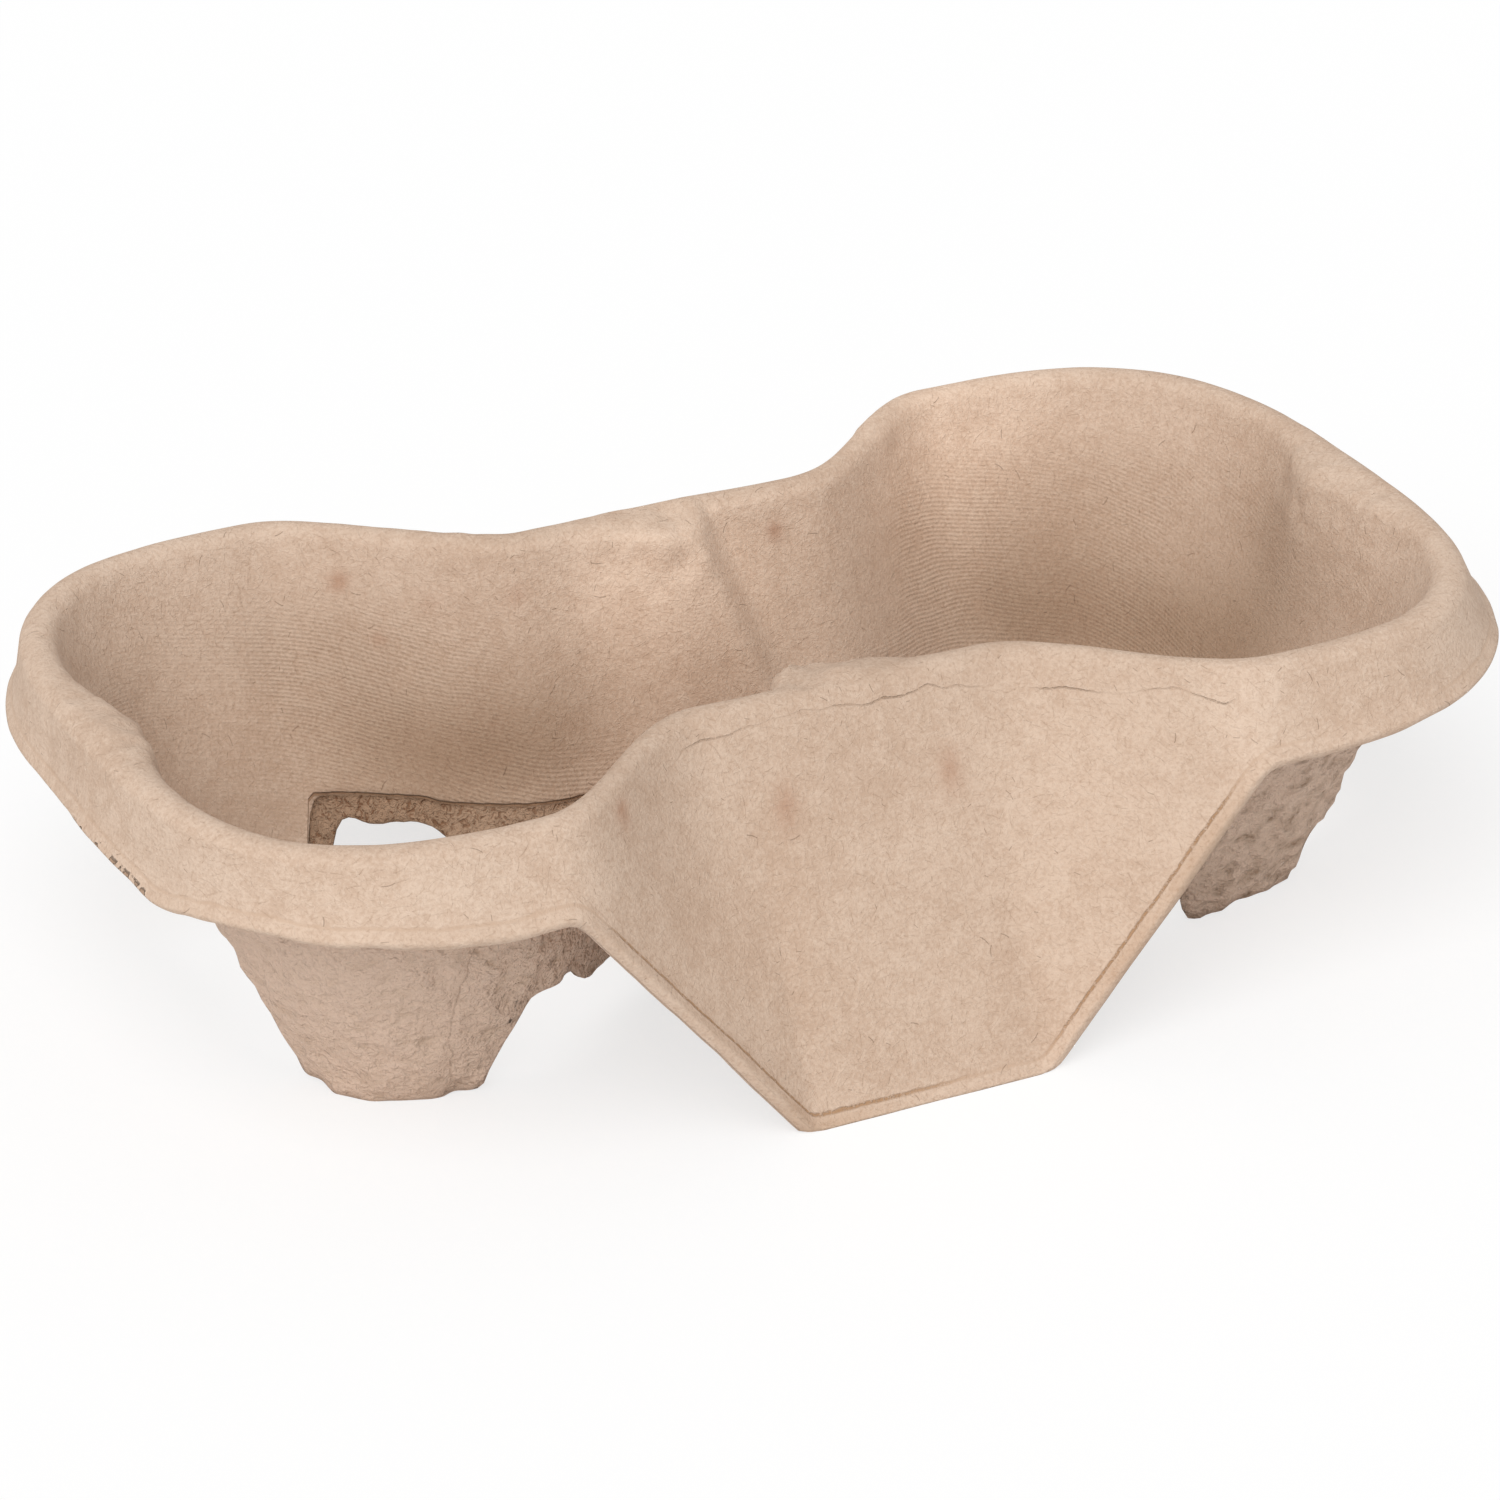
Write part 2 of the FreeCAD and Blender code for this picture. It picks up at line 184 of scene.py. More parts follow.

# What the pulp's colour is multiplied by: in places painted lighter as painted light, at dark and light hairs,
# between the screen's ribs, in painted shade, in the painted shade of the legs' hollows and in the torn band.
PAINTED_LIGHT_TINT = (1.26, 1.26, 1.26)
DARK_HAIR_TINT, LIGHT_HAIR_TINT = (0.86, 0.82, 0.78), (1.12, 1.13, 1.14)
RIB_TINT, PAINTED_SHADE_TINT = (0.76, 0.73, 0.70), (0.49, 0.425, 0.36)
HOLLOW_SHADE_TINT, FRAY_TINT = (0.64, 0.58, 0.52), (0.55, 0.45, 0.38)

# The floor's rings, the first one's share of the reach before it is squared, and how bright the floor looks.
FLOOR_RINGS, FLOOR_SPOKES, FLOOR_HUB = 12, 96, 0.02
FLOOR_GLOW, FLOOR_GLOW_SHARE = 1.12, 0.62
WHITE = (1.0, 1.0, 1.0, 1.0)
# Where the key light comes from and its width in degrees.
KEY_FROM, KEY_WIDTH = (-0.62, -0.72, 1.15), 48.0
# The camera's turn, tip and roll in radians, and the point that it looks at.
CAMERA_ANGLES = (0.4335, 0.4906, -0.0122)
CAMERA_TARGET = (-22.387, -44.887, 54.0)


def length(name, description, millimetres):
    """A length property, its default written in millimetres."""
    return FloatProperty(
        name=name, description=description, default=millimetres * METRES,
        unit="LENGTH", subtype="DISTANCE", precision=5,
    )


def ratio(name, description, value):
    """A property without a unit."""
    return FloatProperty(name=name, description=description, default=value, precision=3)


def colour(name, description, value):
    """A colour property, linear red, green and blue."""
    return FloatVectorProperty(
        name=name, description=description, default=value, size=3, subtype="COLOR", min=0.0, max=1.0,
    )


class TraySizes(bpy.types.PropertyGroup):
    """Sizes of the moulded tray"""

    rim_height: length("Rim height", "From the table to the top of the rim", 54.0)
    sheet: length("Sheet", "Thickness of the pulp", 2.0)
    rim_radius: length("Rim radius", "Roll of the rim over its top", 3.2)
    crest_half_length: length("Crest half length", "Middle of the waist to the crest at an end", 100.0)
    lobe_half_width: length("Lobe half width", "Middle line to the crest beside a pocket", 51.4)
    waist_half_width: length("Waist half width", "Middle line to the crest at the waist", 31.0)
    waist_turn_start: length("Waist turn start", "Where the crest leaves the waist", 22.0)
    waist_turn_end: length("Waist turn end", "Where the crest has its full width", 56.0)
    lobe_start: length("Lobe start", "Where the rounded end begins", 57.0)
    lobe_power: ratio("Lobe power", "How square the rounded end is", 3.0)
    lobe_shift: length("Lobe shift", "How far a lobe sits to one side", 1.05)
    lobe_skew: ratio("Lobe skew", "How far a lobe leans along the tray", 0.04)
    skirt_reach_left: length("Skirt reach, -X end", "Crest to skirt edge", 5.4)
    skirt_reach_right: length("Skirt reach, +X end", "Crest to skirt edge", 8.4)
    skirt_reach_side: length("Skirt reach, sides", "Crest to skirt edge", 8.2)
    skirt_power: ratio("Skirt power", "How square the skirt's edge is round a lobe", 2.5)
    skirt_drop: length("Skirt drop", "Top of the rim to the skirt's level edge", 11.3)
    skirt_lip: length("Skirt lip", "How far the edge turns out", 0.9)
    panel_top_half: length("Panel top half", "Half the panel's width where it leaves the skirt", 52.0)
    panel_foot_half: length("Panel foot half", "Half the panel's width on the table", 18.3)
    panel_arch_blend: length("Arch blend", "Rounding where the panel meets the level skirt", 3.0)
    foot_half_length: length("Foot half length", "Waist to the wall's foot at an end", 78.0)
    foot_half_width: length("Foot half width", "Middle line to the wall's foot beside a pocket", 27.5)
    foot_lobe_start: length("Foot lobe start", "Where the foot's rounded end begins", 60.0)
    foot_skew: ratio("Foot skew", "How far the foot outline leans", 0.1)
    trough_half_width: length("Trough half width", "Middle line to the wall's foot at the waist", 12.0)
    trough_height: length("Trough height", "Table to the underside of the trough", 10.0)
    trough_half_length: length("Trough half length", "Half of the run whose walls end at the trough", 39.5)
    trough_floor_half: length("Trough floor half", "Half length of the trough's floor", 22.0)
    window_height: length("Window height", "Table to the torn edge over a far side window", 13.0)
    near_window_height: length("Near window height", "The same over a near side window", 17.0)
    near_window_run: length("Near window run", "Length of that window's slopes", 8.0)
    end_window_height: length("End window height", "The same at the +X end", 18.0)
    left_window_height: length("Left window height", "The same at the -X end", 23.5)
    near_leg_inner: length("Near leg start", "Where the inner legs begin", 51.0)
    far_leg_inner: length("Far leg start", "Where the outer legs begin", 54.5)
    near_leg_side: length("Near leg side", "Where the inner legs end round the lobe", 15.0)
    near_leg_side_run: length("Near leg side run", "Run of the slope there", 5.0)
    far_leg_side: length("Far leg side", "Where the outer legs end round the lobe", 24.0)
    far_leg_side_run: length("Far leg side run", "Run of the slope there", 12.0)
    window_side_run: length("Window side run", "Run of a window's upright sides", 3.0)
    waist_ledge: length("Waist ledge", "Width of the ledge inside the waist", 6.0)
    waist_ledge_start: length("Waist ledge start", "Where it begins, before the middle", 17.0)
    waist_ledge_stop: length("Waist ledge stop", "Where it falls back at the rim, on the +Y side", 1.5)
    waist_ledge_stop_front: length("Front ledge stop", "The same on the -Y side", 4.5)
    waist_ledge_slant: ratio("Waist ledge slant", "How much further along it falls back lower down", 0.35)
    waist_ledge_fade: ratio("Waist ledge fade", "Share of its width that it would lose down to the table", 0.9)
    ledge_step: length("Ledge step", "Run over which the waist ledge falls back", 4.2)
    ledge_foot_share: ratio("Ledge foot share", "How much of a ledge the wall's foot follows", 0.7)
    end_ledge: length("End ledge", "Width of the ledge inside an end", 4.0)
    end_ledge_start: length("End ledge start", "Where it begins", 30.0)
    end_ledge_stop: length("End ledge stop", "Where it starts to fall back", -3.0)
    end_ledge_fade: length("End ledge fade", "Run over which it falls back", 21.0)
    left_ledge_fade: length("Left ledge fade", "Further run of that on the -X end", 13.0)
    line_height: length("Window line", "Crisp line over a torn edge, from the table", 16.7)
    trough_line_drop: length("Trough line drop", "How much lower that line is along the trough", 0.6)
    torn_wave: length("Torn wave", "Height of the waves in a torn edge", 1.5)
    torn_depth: length("Torn depth", "How far the torn band lies behind the wall", 0.7)
    lump_height: length("Lump height", "Lumps of the outer, rough skin", 0.3)
    leg_lump_height: length("Leg lump height", "The same where the legs are torn and cracked", 0.9)


class PulpFinish(bpy.types.PropertyGroup):
    """Colours and grain of the moulded pulp"""

    tan: colour("Tan", "Clean pressed side", (0.615, 0.440, 0.325))
    pale: colour("Pale", "Pale mottling", (0.765, 0.590, 0.462))
    rough: colour("Rough side", "Outer side, which was against no mould", (0.795, 0.592, 0.464))
    torn: colour("Torn", "Torn band round a window", (0.406, 0.262, 0.170))
    streak: colour("Streak", "Dark lines and cracks", (0.290, 0.155, 0.080))
    damp: colour("Damp", "Rusty stain along an edge", (0.420, 0.225, 0.105))
    blotch: colour("Blotch", "Reddish spots", (0.480, 0.270, 0.175))
    fleck: colour("Fleck", "Dark hairs and specks", (0.170, 0.105, 0.070))
    rib_pitch: length("Rib pitch", "Pitch of the wire screen's print", 0.66)


class Studio(bpy.types.PropertyGroup):
    """Floor, light and camera"""

    floor_colour: colour("Floor", "Floor and backdrop", (0.86, 0.86, 0.86))
    floor_reach: length("Floor reach", "Radius of the floor", 6000.0)
    key_strength: ratio("Key light", "Strength of the soft light from the upper left", 1.85)
    sky_strength: ratio("Fill light", "Strength of the light all round", 0.47)
    camera_distance: length("Camera distance", "Camera to the point it looks at", 828.6)
    lens: ratio("Lens", "Focal length for a 36 mm sensor", 144.0)


def in_millimetres(group):
    """The group's values as plain numbers, its lengths in millimetres."""
    values = {}
    for name, item in group.bl_rna.properties.items():
        if item.type == "FLOAT":
            value = getattr(group, name)
            values[name] = value / METRES if item.unit == "LENGTH" else value
    return SimpleNamespace(**values)


# Outlines of the tray.

def smooth(u):
    """A smooth step from 0 to 1 as u runs from 0 to 1: three u squared less two u cubed."""
    u = np.clip(u, 0.0, 1.0)
    return u * u * (3.0 - 2.0 * u)


def soft_min(a, b, blend):
    """The smaller of two lengths, lowered by a parabola within the blend where they cross."""
    k = np.maximum(blend - np.abs(a - b), 0.0) / blend
    return np.minimum(a, b) - k * k * blend / 4.0


def waist_swell(x, size):
    """0 at the waist, growing smoothly to 1 where a lobe has its full width."""
    return smooth((np.abs(x) - size.waist_turn_start) / (size.waist_turn_end - size.waist_turn_start))


def lobe_outline(t, start, end, half_width, power):
    """A rounded lobe end: x grows with the cosine of t and y with its sine, each to 2 / power."""
    x = start + (end - start) * np.cos(t) ** (2.0 / power)
    return np.column_stack([x, half_width * np.clip(np.sin(t), 0.0, 1.0) ** (2.0 / power)])


def quarter_outlines(size, end_reach):
    """Crest, wall foot and skirt edge in the +X +Y quarter, as three lists of matching points.

    Along the long side x is even and the two half widths follow the waist's swell. Round the
    lobe the stations are spaced evenly by the crest's length and the foot's added up.
    """
    side = size.lobe_half_width + size.skirt_reach_side
    end = size.crest_half_length + end_reach
    x = size.lobe_start * np.arange(LONG_STATIONS) / LONG_STATIONS
    swell = waist_swell(x, size)
    crest = np.column_stack([x, size.waist_half_width + (size.lobe_half_width - size.waist_half_width) * swell])
    foot_y = size.trough_half_width + (size.foot_half_width - size.trough_half_width) * swell
    foot = np.column_stack([x * size.foot_lobe_start / size.lobe_start, foot_y])
    edge = np.column_stack([x, np.full_like(x, side)])

    def lobe(t):
        power = size.lobe_power
        return (
            lobe_outline(t, size.lobe_start, size.crest_half_length, size.lobe_half_width, power),
            lobe_outline(t, size.foot_lobe_start, size.foot_half_length, size.foot_half_width, power),
            lobe_outline(t, size.lobe_start, end, side, size.skirt_power),
        )

    t = 0.5 * np.pi * (1.0 - np.linspace(0.0, 1.0, LOBE_STEPS + 1) ** 1.5)
    fine = lobe(t)
    steps = sum(np.linalg.norm(np.diff(line, axis=0), axis=1) for line in fine[:2])
    run = np.concatenate([[0.0], np.cumsum(steps)])
    even = np.interp(np.linspace(0.0, run[-1], LOBE_STATIONS + 1), run, t)
    return [np.vstack([long_side, round_end]) for long_side, round_end in zip((crest, foot, edge), lobe(even))]


def ring_outlines(size):
    """Crest, foot and edge once round the tray, from the middle of the +Y side, lobes leaned."""
    right = quarter_outlines(size, size.skirt_reach_right)
    left = quarter_outlines(size, size.skirt_reach_left)
    ring = []
    for r, l in zip(right, left):
        ring.append(np.vstack([r, r[-2::-1] * (1, -1), l[1:] * (-1, -1), l[-2:0:-1] * (-1, 1)]))
    x = ring[0][:, 0].copy()
    swell = waist_swell(x, size)
    for line, skew in zip(ring, (size.lobe_skew, size.foot_skew, size.lobe_skew)):
        line[:, 0] -= skew * line[:, 1] * swell
        line[:, 1] -= np.sign(x) * size.lobe_shift * swell
    return ring


def centring(size):
    """How far the tray moves along X to stand in the middle of its own box."""
    return 0.5 * (size.skirt_reach_left - size.skirt_reach_right)


def skirt_edge_height(edge, size):
    """Height of the skirt's lower edge: level round the lobes, down to the table at each panel."""
    level = size.rim_height - size.skirt_drop
    x, y = np.abs(edge[:, 0]), np.abs(edge[:, 1])
    slant = (x - size.panel_foot_half) * level / (size.panel_top_half - size.panel_foot_half)
    height = np.maximum(soft_min(level, slant, size.panel_arch_blend), 0.0)
    height = np.where(y < size.lobe_half_width, level, height)
    wave = layered(flat(edge), EDGE_WAVES) * (1.0 + bells(flat(edge), WORN_EDGES))
    return height + wave * smooth(height / 12.0) - bells(flat(edge), LOW_EDGES)


def wall_stops(foot, size):
    """Height at which the wall stops, of the crisp line over it, and how far an end window counts.

    Smooth steps carry the stop from the trough's walls up to the side window, down to the table
    at a leg and up to the end window. The line keeps level along the trough and over
    the side window and comes down just past the leg's edge.
    """
    left = foot[:, 0] < 0.0
    turn = np.where(left, -1.0, 1.0)
    x, y = foot[:, 0] * turn, foot[:, 1] * turn
    far = y < 0.0
    inner = np.where(far, size.far_leg_inner, size.near_leg_inner)
    side = np.where(far, size.far_leg_side + LEFT_LEG_FURTHER * left, size.near_leg_side)
    side_run = np.where(far, size.far_leg_side_run - LEFT_LEG_STEEPER * left, size.near_leg_side_run)
    run = np.where(far, size.window_side_run, size.near_window_run)
    high = np.where(far, size.window_height, size.near_window_height)
    past_trough = smooth((x - size.trough_half_length + 0.4 * (run - size.window_side_run)) / run)
    stop = size.trough_height + (high - size.trough_height) * past_trough
    stop = stop * (1.0 - smooth((x - inner) / (0.8 * run + 0.2 * size.window_side_run)))
    on_end = smooth((side - np.abs(y)) / side_run) * smooth((x - size.foot_lobe_start) / side_run)
    end_height = np.where(left, size.left_window_height, size.end_window_height)
    stop += (end_height - stop) * on_end
    line = size.line_height - size.trough_line_drop * (1.0 - past_trough)
    line = line * (1.0 - smooth((x - inner - size.window_side_run) / size.window_side_run))
    return stop, line, on_end


def ledge_width(crest, height, size):
    """How far the wall stands in from the rim, along the waist and inside the ends, at a height.

    Along the waist it grows linearly to its full width and falls back over the ledge step, further
    along the lower it is. Inside the ends it rises and falls with smooth steps across the tray.
    """
    front = crest[:, 1:] < 0.0
    x = crest[:, :1] * np.where(front, -1.0, 1.0)
    stop = np.where(front, size.waist_ledge_stop_front, size.waist_ledge_stop)
    stop = stop + size.waist_ledge_slant * (size.rim_height - height)
    rise = smooth((x + size.waist_ledge_start) / size.waist_ledge_start)
    fall = np.clip(1.0 - (x - stop) / size.ledge_step, 0.0, 1.0)
    waist = size.waist_ledge * np.minimum(rise, fall) * (np.abs(x) < size.lobe_start)
    waist = waist * np.clip(1.0 - size.waist_ledge_fade * (size.rim_height - height) / size.rim_height, 0.2, 1.0)

    left = crest[:, :1] < 0.0
    turn = np.where(left, -1.0, 1.0)
    x, y = crest[:, :1] * turn, crest[:, 1:] * turn
    rise = smooth((y + size.end_ledge_start) / size.end_ledge_start)
    fade = size.end_ledge_fade + size.left_ledge_fade * left
    fall = smooth((y - size.end_ledge_stop + 0.5 * size.left_ledge_fade * left) / fade)
    end = size.end_ledge * rise * (1.0 - fall) * (x > size.foot_half_length)
    return waist + end * np.where(left, 1.0, 0.1 + 0.9 * smooth((height - 26.0) / 24.0))


# Lumps and marks.

def lumps(points, pitch, seed):
    """Smooth random lumps between -1 and 1 of a given pitch at points in millimetres.

    Numbers on a cubic lattice, blended between its eight nearest corners with a smooth step.
    """
    table = np.random.default_rng(LATTICE_SEED + seed).uniform(-1.0, 1.0, (LATTICE,) * 3)
    place = points / pitch + LATTICE / 2.0
    cell = np.floor(place).astype(int)
    part = smooth(place - cell)
    total = np.zeros(points.shape[:-1])
    for corner in np.ndindex(2, 2, 2):
        weight = np.prod(np.where(corner, part, 1.0 - part), axis=-1)
        index = tuple(((cell + corner) % LATTICE)[..., axis] for axis in range(3))
        total += weight * table[index]
    return total


def layered(points, layers):
    """Layers of lumps added up, each with its own gain, pitch and seed."""
    return sum(gain * lumps(points, pitch, seed) for gain, pitch, seed in layers)


def bells(points, places):
    """Bells added up: each is its gain at its centre and falls off over its radius."""
    return sum(
        gain * np.exp(-np.sum((points - np.array(centre)) ** 2, axis=-1) / radius ** 2)
        for centre, gain, radius in places
    )


# The moulded sheet.

def flat(outline):
    """An outline on the table as points with a height of 0."""
    return np.column_stack([outline, np.zeros(len(outline))])


def unit(vectors):
    """Vectors divided by their lengths."""
    return vectors / np.linalg.norm(vectors, axis=-1, keepdims=True)


def skin_rows(ring, size, heights, rim_rows, skirt_shares, edge_gaps):
    """The sheet's upper skin at each station: the wall at given heights, then the rim, then the skirt.

    The wall is a straight line from the rim's inner side through the foot. The rim is an arc of the
    rim radius, widened inward by the ledge. The skirt is a straight line to its edge, whose
    last few millimetres turn out as a lip. Returns the points and the gaps from the skirt's edge.
    """
    crest, foot, edge = (flat(line) for line in ring)
    inward, outward = unit(foot - crest), unit(edge - crest)
    centre = crest + (0.0, 0.0, size.rim_height - size.rim_radius)

    angle = np.radians(np.linspace(RIM_FROM, RIM_TO, rim_rows))
    share = np.interp(np.degrees(angle), LEDGE_ANGLES, LEDGE_SHARES)
    reach = size.rim_radius * np.cos(angle)
    ledge = ledge_width(ring[0], np.full((1, 1), size.rim_height), size)
    inner = inward[:, None] * (np.maximum(reach, 0.0) + ledge * share)[..., None]
    outer = outward[:, None] * np.maximum(-reach, 0.0)[:, None]
    lift = np.array((0.0, 0.0, size.rim_radius)) * np.sin(angle)[:, None]
    rim = centre[:, None] + inner + outer + lift

    top = rim[:, 0] - inward * ledge
    fall = (top[:, 2:] - heights) / top[:, 2:]
    kept = 1.0 - (1.0 - size.ledge_foot_share) * fall
    wall = top[:, None] + (foot - top)[:, None] * fall[..., None]
    wall += inward[:, None] * (ledge_width(ring[0], heights, size) * kept)[..., None]

    start = rim[:, -1]
    end = edge + np.column_stack([np.zeros((len(edge), 2)), skirt_edge_height(ring[2], size)])
    run = np.linalg.norm(end - start, axis=1)[:, None]
    gaps = np.hstack([run + (edge_gaps[0] - run) * np.array(skirt_shares), np.tile(edge_gaps, (len(run), 1))])
    skirt = end[:, None] + (start - end)[:, None] * (gaps / run)[..., None]
    lip = size.skirt_lip * np.clip(1.0 - gaps / (1.25 * edge_gaps[0]), 0.0, 1.0) ** 2
    skirt += outward[:, None] * lip[..., None]

    points = np.concatenate([wall, rim[:, 1:], skirt], axis=1)
    no_edge = np.full((len(points), points.shape[1] - gaps.shape[1]), NO_EDGE)
    return points, np.hstack([no_edge, gaps])


def skin_normals(points):
    """Unit normals from the steps along the ring and across it, away from the pulp on the upper skin."""
    along = np.roll(points, -1, axis=0) - np.roll(points, 1, axis=0)
    across = np.gradient(points, axis=1)
    return unit(np.cross(along, across))


def softened(points, passes):
    """Corners round the ring eased with weights of 1, 2, 1 on each station and its neighbours."""
    for _ in range(passes):
        points = 0.25 * (np.roll(points, 1, axis=0) + 2.0 * points + np.roll(points, -1, axis=0))
    return points


def crack_gaps(points):
    """How far each point is from the crack on its side, across the crack, and how open that is.

    The crack under the front of the rim is a height that follows X; the one on the front
    left leg is a place along X that follows the height.
    """
    x, z = points[..., 0], points[..., 2]
    front = points[..., 1] < FRONT

    def opened(along, ends, fades):
        return smooth((along - ends[0]) / fades[0]) * smooth((ends[1] - along) / fades[1]) * front

    rim_gap = z - np.interp(x, RIM_CRACK[:, 0], RIM_CRACK[:, 1]) - layered(points, RIM_CRACK_BENDS)
    leg_gap = x - np.interp(z, LEG_CRACK[:, 1], LEG_CRACK[:, 0]) - layered(points, LEG_CRACK_BENDS)
    return (
        rim_gap, opened(x, RIM_CRACK_ENDS, RIM_CRACK_FADES),
        leg_gap, 0.5 * opened(z, LEG_CRACK_ENDS, LEG_CRACK_FADES),
    )


def torn_ends(ring, size):
    """Where the wall ends at each station: its height, the crisp line over it and how torn it is.

    The torn edge waves over the windows, the feet are worn here and there, and single places
    are raised by bells. The line stays a little over the edge.
    """
    foot = flat(ring[1])
    stop, line, on_end = wall_stops(ring[1], size)
    torn = smooth((line - stop - 0.6) / 1.2) * (1.0 - on_end)
    on_window = smooth(stop / 6.0)
    turn = np.where(foot[:, 0] < 0.0, -1.0, 1.0)
    near_side = (foot[:, 1] * turn > 0.0) & (foot[:, 0] * turn > size.trough_floor_half)
    stop = stop + size.torn_wave * layered(foot, TORN_WAVES) * on_window * np.where(near_side, 0.4, 1.0)
    stop += (1.0 - on_window) * (np.maximum(layered(foot, FOOT_WEAR), 0.0) + bells(foot, LEG_NICKS))
    stop += bells(foot, WINDOW_LIFTS)
    return stop, np.maximum(line, stop + 0.7), torn


def panel_share(ring, size):
    """How far each station is on a side panel: a smooth step as the skirt's edge goes down."""
    level = size.rim_height - size.skirt_drop
    return smooth((level - 2.5 - skirt_edge_height(ring[2], size)) / 6.0)[:, None]


def upper_skin(ring, size, ends, top):
    """The clean upper skin with its marks: torn band, wall, rim and skirt.

    The band lies a torn depth behind the wall. Waves, clods on the ledges, single lumps and the
    crack under the rim move the skin along its normals.
    """
    stop, line, torn = ends
    heights = np.hstack([
        stop[:, None] + (line - 0.3 - stop)[:, None] * np.linspace(0.0, 1.0, TORN_ROWS),
        line[:, None] + (top - line)[:, None] * np.linspace(0.0, 1.0, WALL_ROWS),
    ])
    points, gaps = skin_rows(ring, size, heights, RIM_ROWS, SKIRT_SHARES, EDGE_GAPS)
    points = softened(points, 2)
    normals = skin_normals(points)
    row = np.arange(points.shape[1])
    on_torn = torn[:, None] * (row < TORN_ROWS)
    by_trough = np.abs(ring[1][:, :1]) < size.trough_half_length
    depth = layered(points, SKIN_WAVES)
    depth -= size.torn_depth * np.where(by_trough, 0.6, 1.1) * (1.0 + layered(points, TORN_PITS)) * on_torn
    ledge = np.clip(ledge_width(ring[0], np.full((1, 1), size.rim_height), size) / 4.0, 0.0, 1.0)
    on_ledge = ledge * ((row > TORN_ROWS + 0.75 * WALL_ROWS) & (row < TORN_ROWS + WALL_ROWS + 6))
    depth += on_ledge * layered(points, LEDGE_CLODS)
    depth += bells(points, UPPER_LUMPS) * (0.6 + layered(points, CLOD_BREAKS))
    rim_gap, rim_gain, _, _ = crack_gaps(points)
    rim_gain = 0.85 * smooth(0.6 + layered(points, RIM_CRACK_BREAKS)) * rim_gain * (row > TORN_ROWS + WALL_ROWS + 5)
    depth -= RIM_CRACK_DEPTH * rim_gain * np.exp(-(rim_gap / RIM_CRACK_WIDTH) ** 2)
    points = points + normals * depth[..., None]

    wall_gap = np.where(row < TORN_ROWS + WALL_ROWS, points[..., 2] - line[:, None], NO_LINE)
    inside = (row < TORN_ROWS + WALL_ROWS + 2) * 1.0
    deep = smooth((size.rim_height - 4.0 - points[..., 2]) / 14.0) * inside
    panel = panel_share(ring, size)
    marks = {
        "torn": on_torn * np.where(by_trough, 0.85, 1.0),
        "line_gap": np.where(torn[:, None] > 0.4, np.clip(wall_gap, -4.0, NO_LINE), NO_LINE),
        "edge_gap": gaps,
        "panel": 0.25 + 0.75 * panel,
        "screen_print": deep * (1.0 - on_torn) * smooth(0.6 + layered(points, PRINT_PATCHES)),
        "crack_gap": np.clip(rim_gap, -NO_CRACK, NO_CRACK),
        "crack_gain": rim_gain,
        "slit": bells(flat(ring[2]), SLIT_EDGES)[:, None],
        "stain": bells(points, BLOTCHES),
        # Painted shade: patches low in the pockets, darker the deeper it is inside, and a little on the panels.
        "painted_shade": bells(points, SHADE_PATCHES) * inside + 0.2 * deep + 0.12 * panel * (1.0 - inside),
    }
    return points, marks


def lower_skin(ring, size, ends, top):
    """The rough lower skin with its marks, a sheet's thickness behind the upper one's outlines.

    Ridges, clods, hollows and the crack of the front left leg move it along its normals.
    """
    stop = ends[0]
    heights = stop[:, None] + (top - stop)[:, None] * np.linspace(0.0, 1.0, LOWER_WALL_ROWS)
    points, gaps = skin_rows(ring, size, heights, LOWER_RIM_ROWS, LOWER_SKIRT_SHARES, LOWER_EDGE_GAPS)
    points = softened(points, 2)
    normals = skin_normals(points)
    on_wall = (np.arange(points.shape[1]) < LOWER_WALL_ROWS) * 1.0
    x = points[..., 0]
    rough_leg = 0.95 * smooth((66.0 - np.abs(x)) / 5.0) + smooth((x - 40.0) / 8.0)
    rough_leg = np.clip(rough_leg, 0.72, 1.0) * on_wall
    ridged = 1.0 - 2.2 * np.abs(layered(points * (1.0, 1.0, 0.6), LEG_RIDGES))
    lump = 0.55 * ridged + layered(points, LEG_CLODS) * (1.0 + 0.2 * (x < 0.0))
    depth = size.lump_height * layered(points, OUTER_WAVES) * np.where(on_wall, 1.0, 0.6)
    depth += size.leg_lump_height * lump * rough_leg - bells(points, LEG_HOLLOWS) * on_wall
    _, _, leg_gap, leg_gain = crack_gaps(points)
    leg_gain = leg_gain * on_wall * (np.abs(x - LEG_CRACK_AT) < 9.0)
    depth -= LEG_CRACK_DEPTH * leg_gain * np.exp(-(leg_gap / LEG_CRACK_WIDTH) ** 2)
    marks = {
        "lower_skin": 1.0,
        "edge_gap": gaps + 4.0,
        "leg_rough": rough_leg,
        "crack_gap": np.clip(leg_gap, -NO_CRACK, NO_CRACK),
        "crack_gain": leg_gain,
        # Painted shade on the lower skin, a little everywhere and much more towards the +X end.
        "painted_shade": 0.08 + 0.90 * smooth((x - 20.0) / 30.0),
    }
    return points - normals * (size.sheet + depth)[..., None], marks


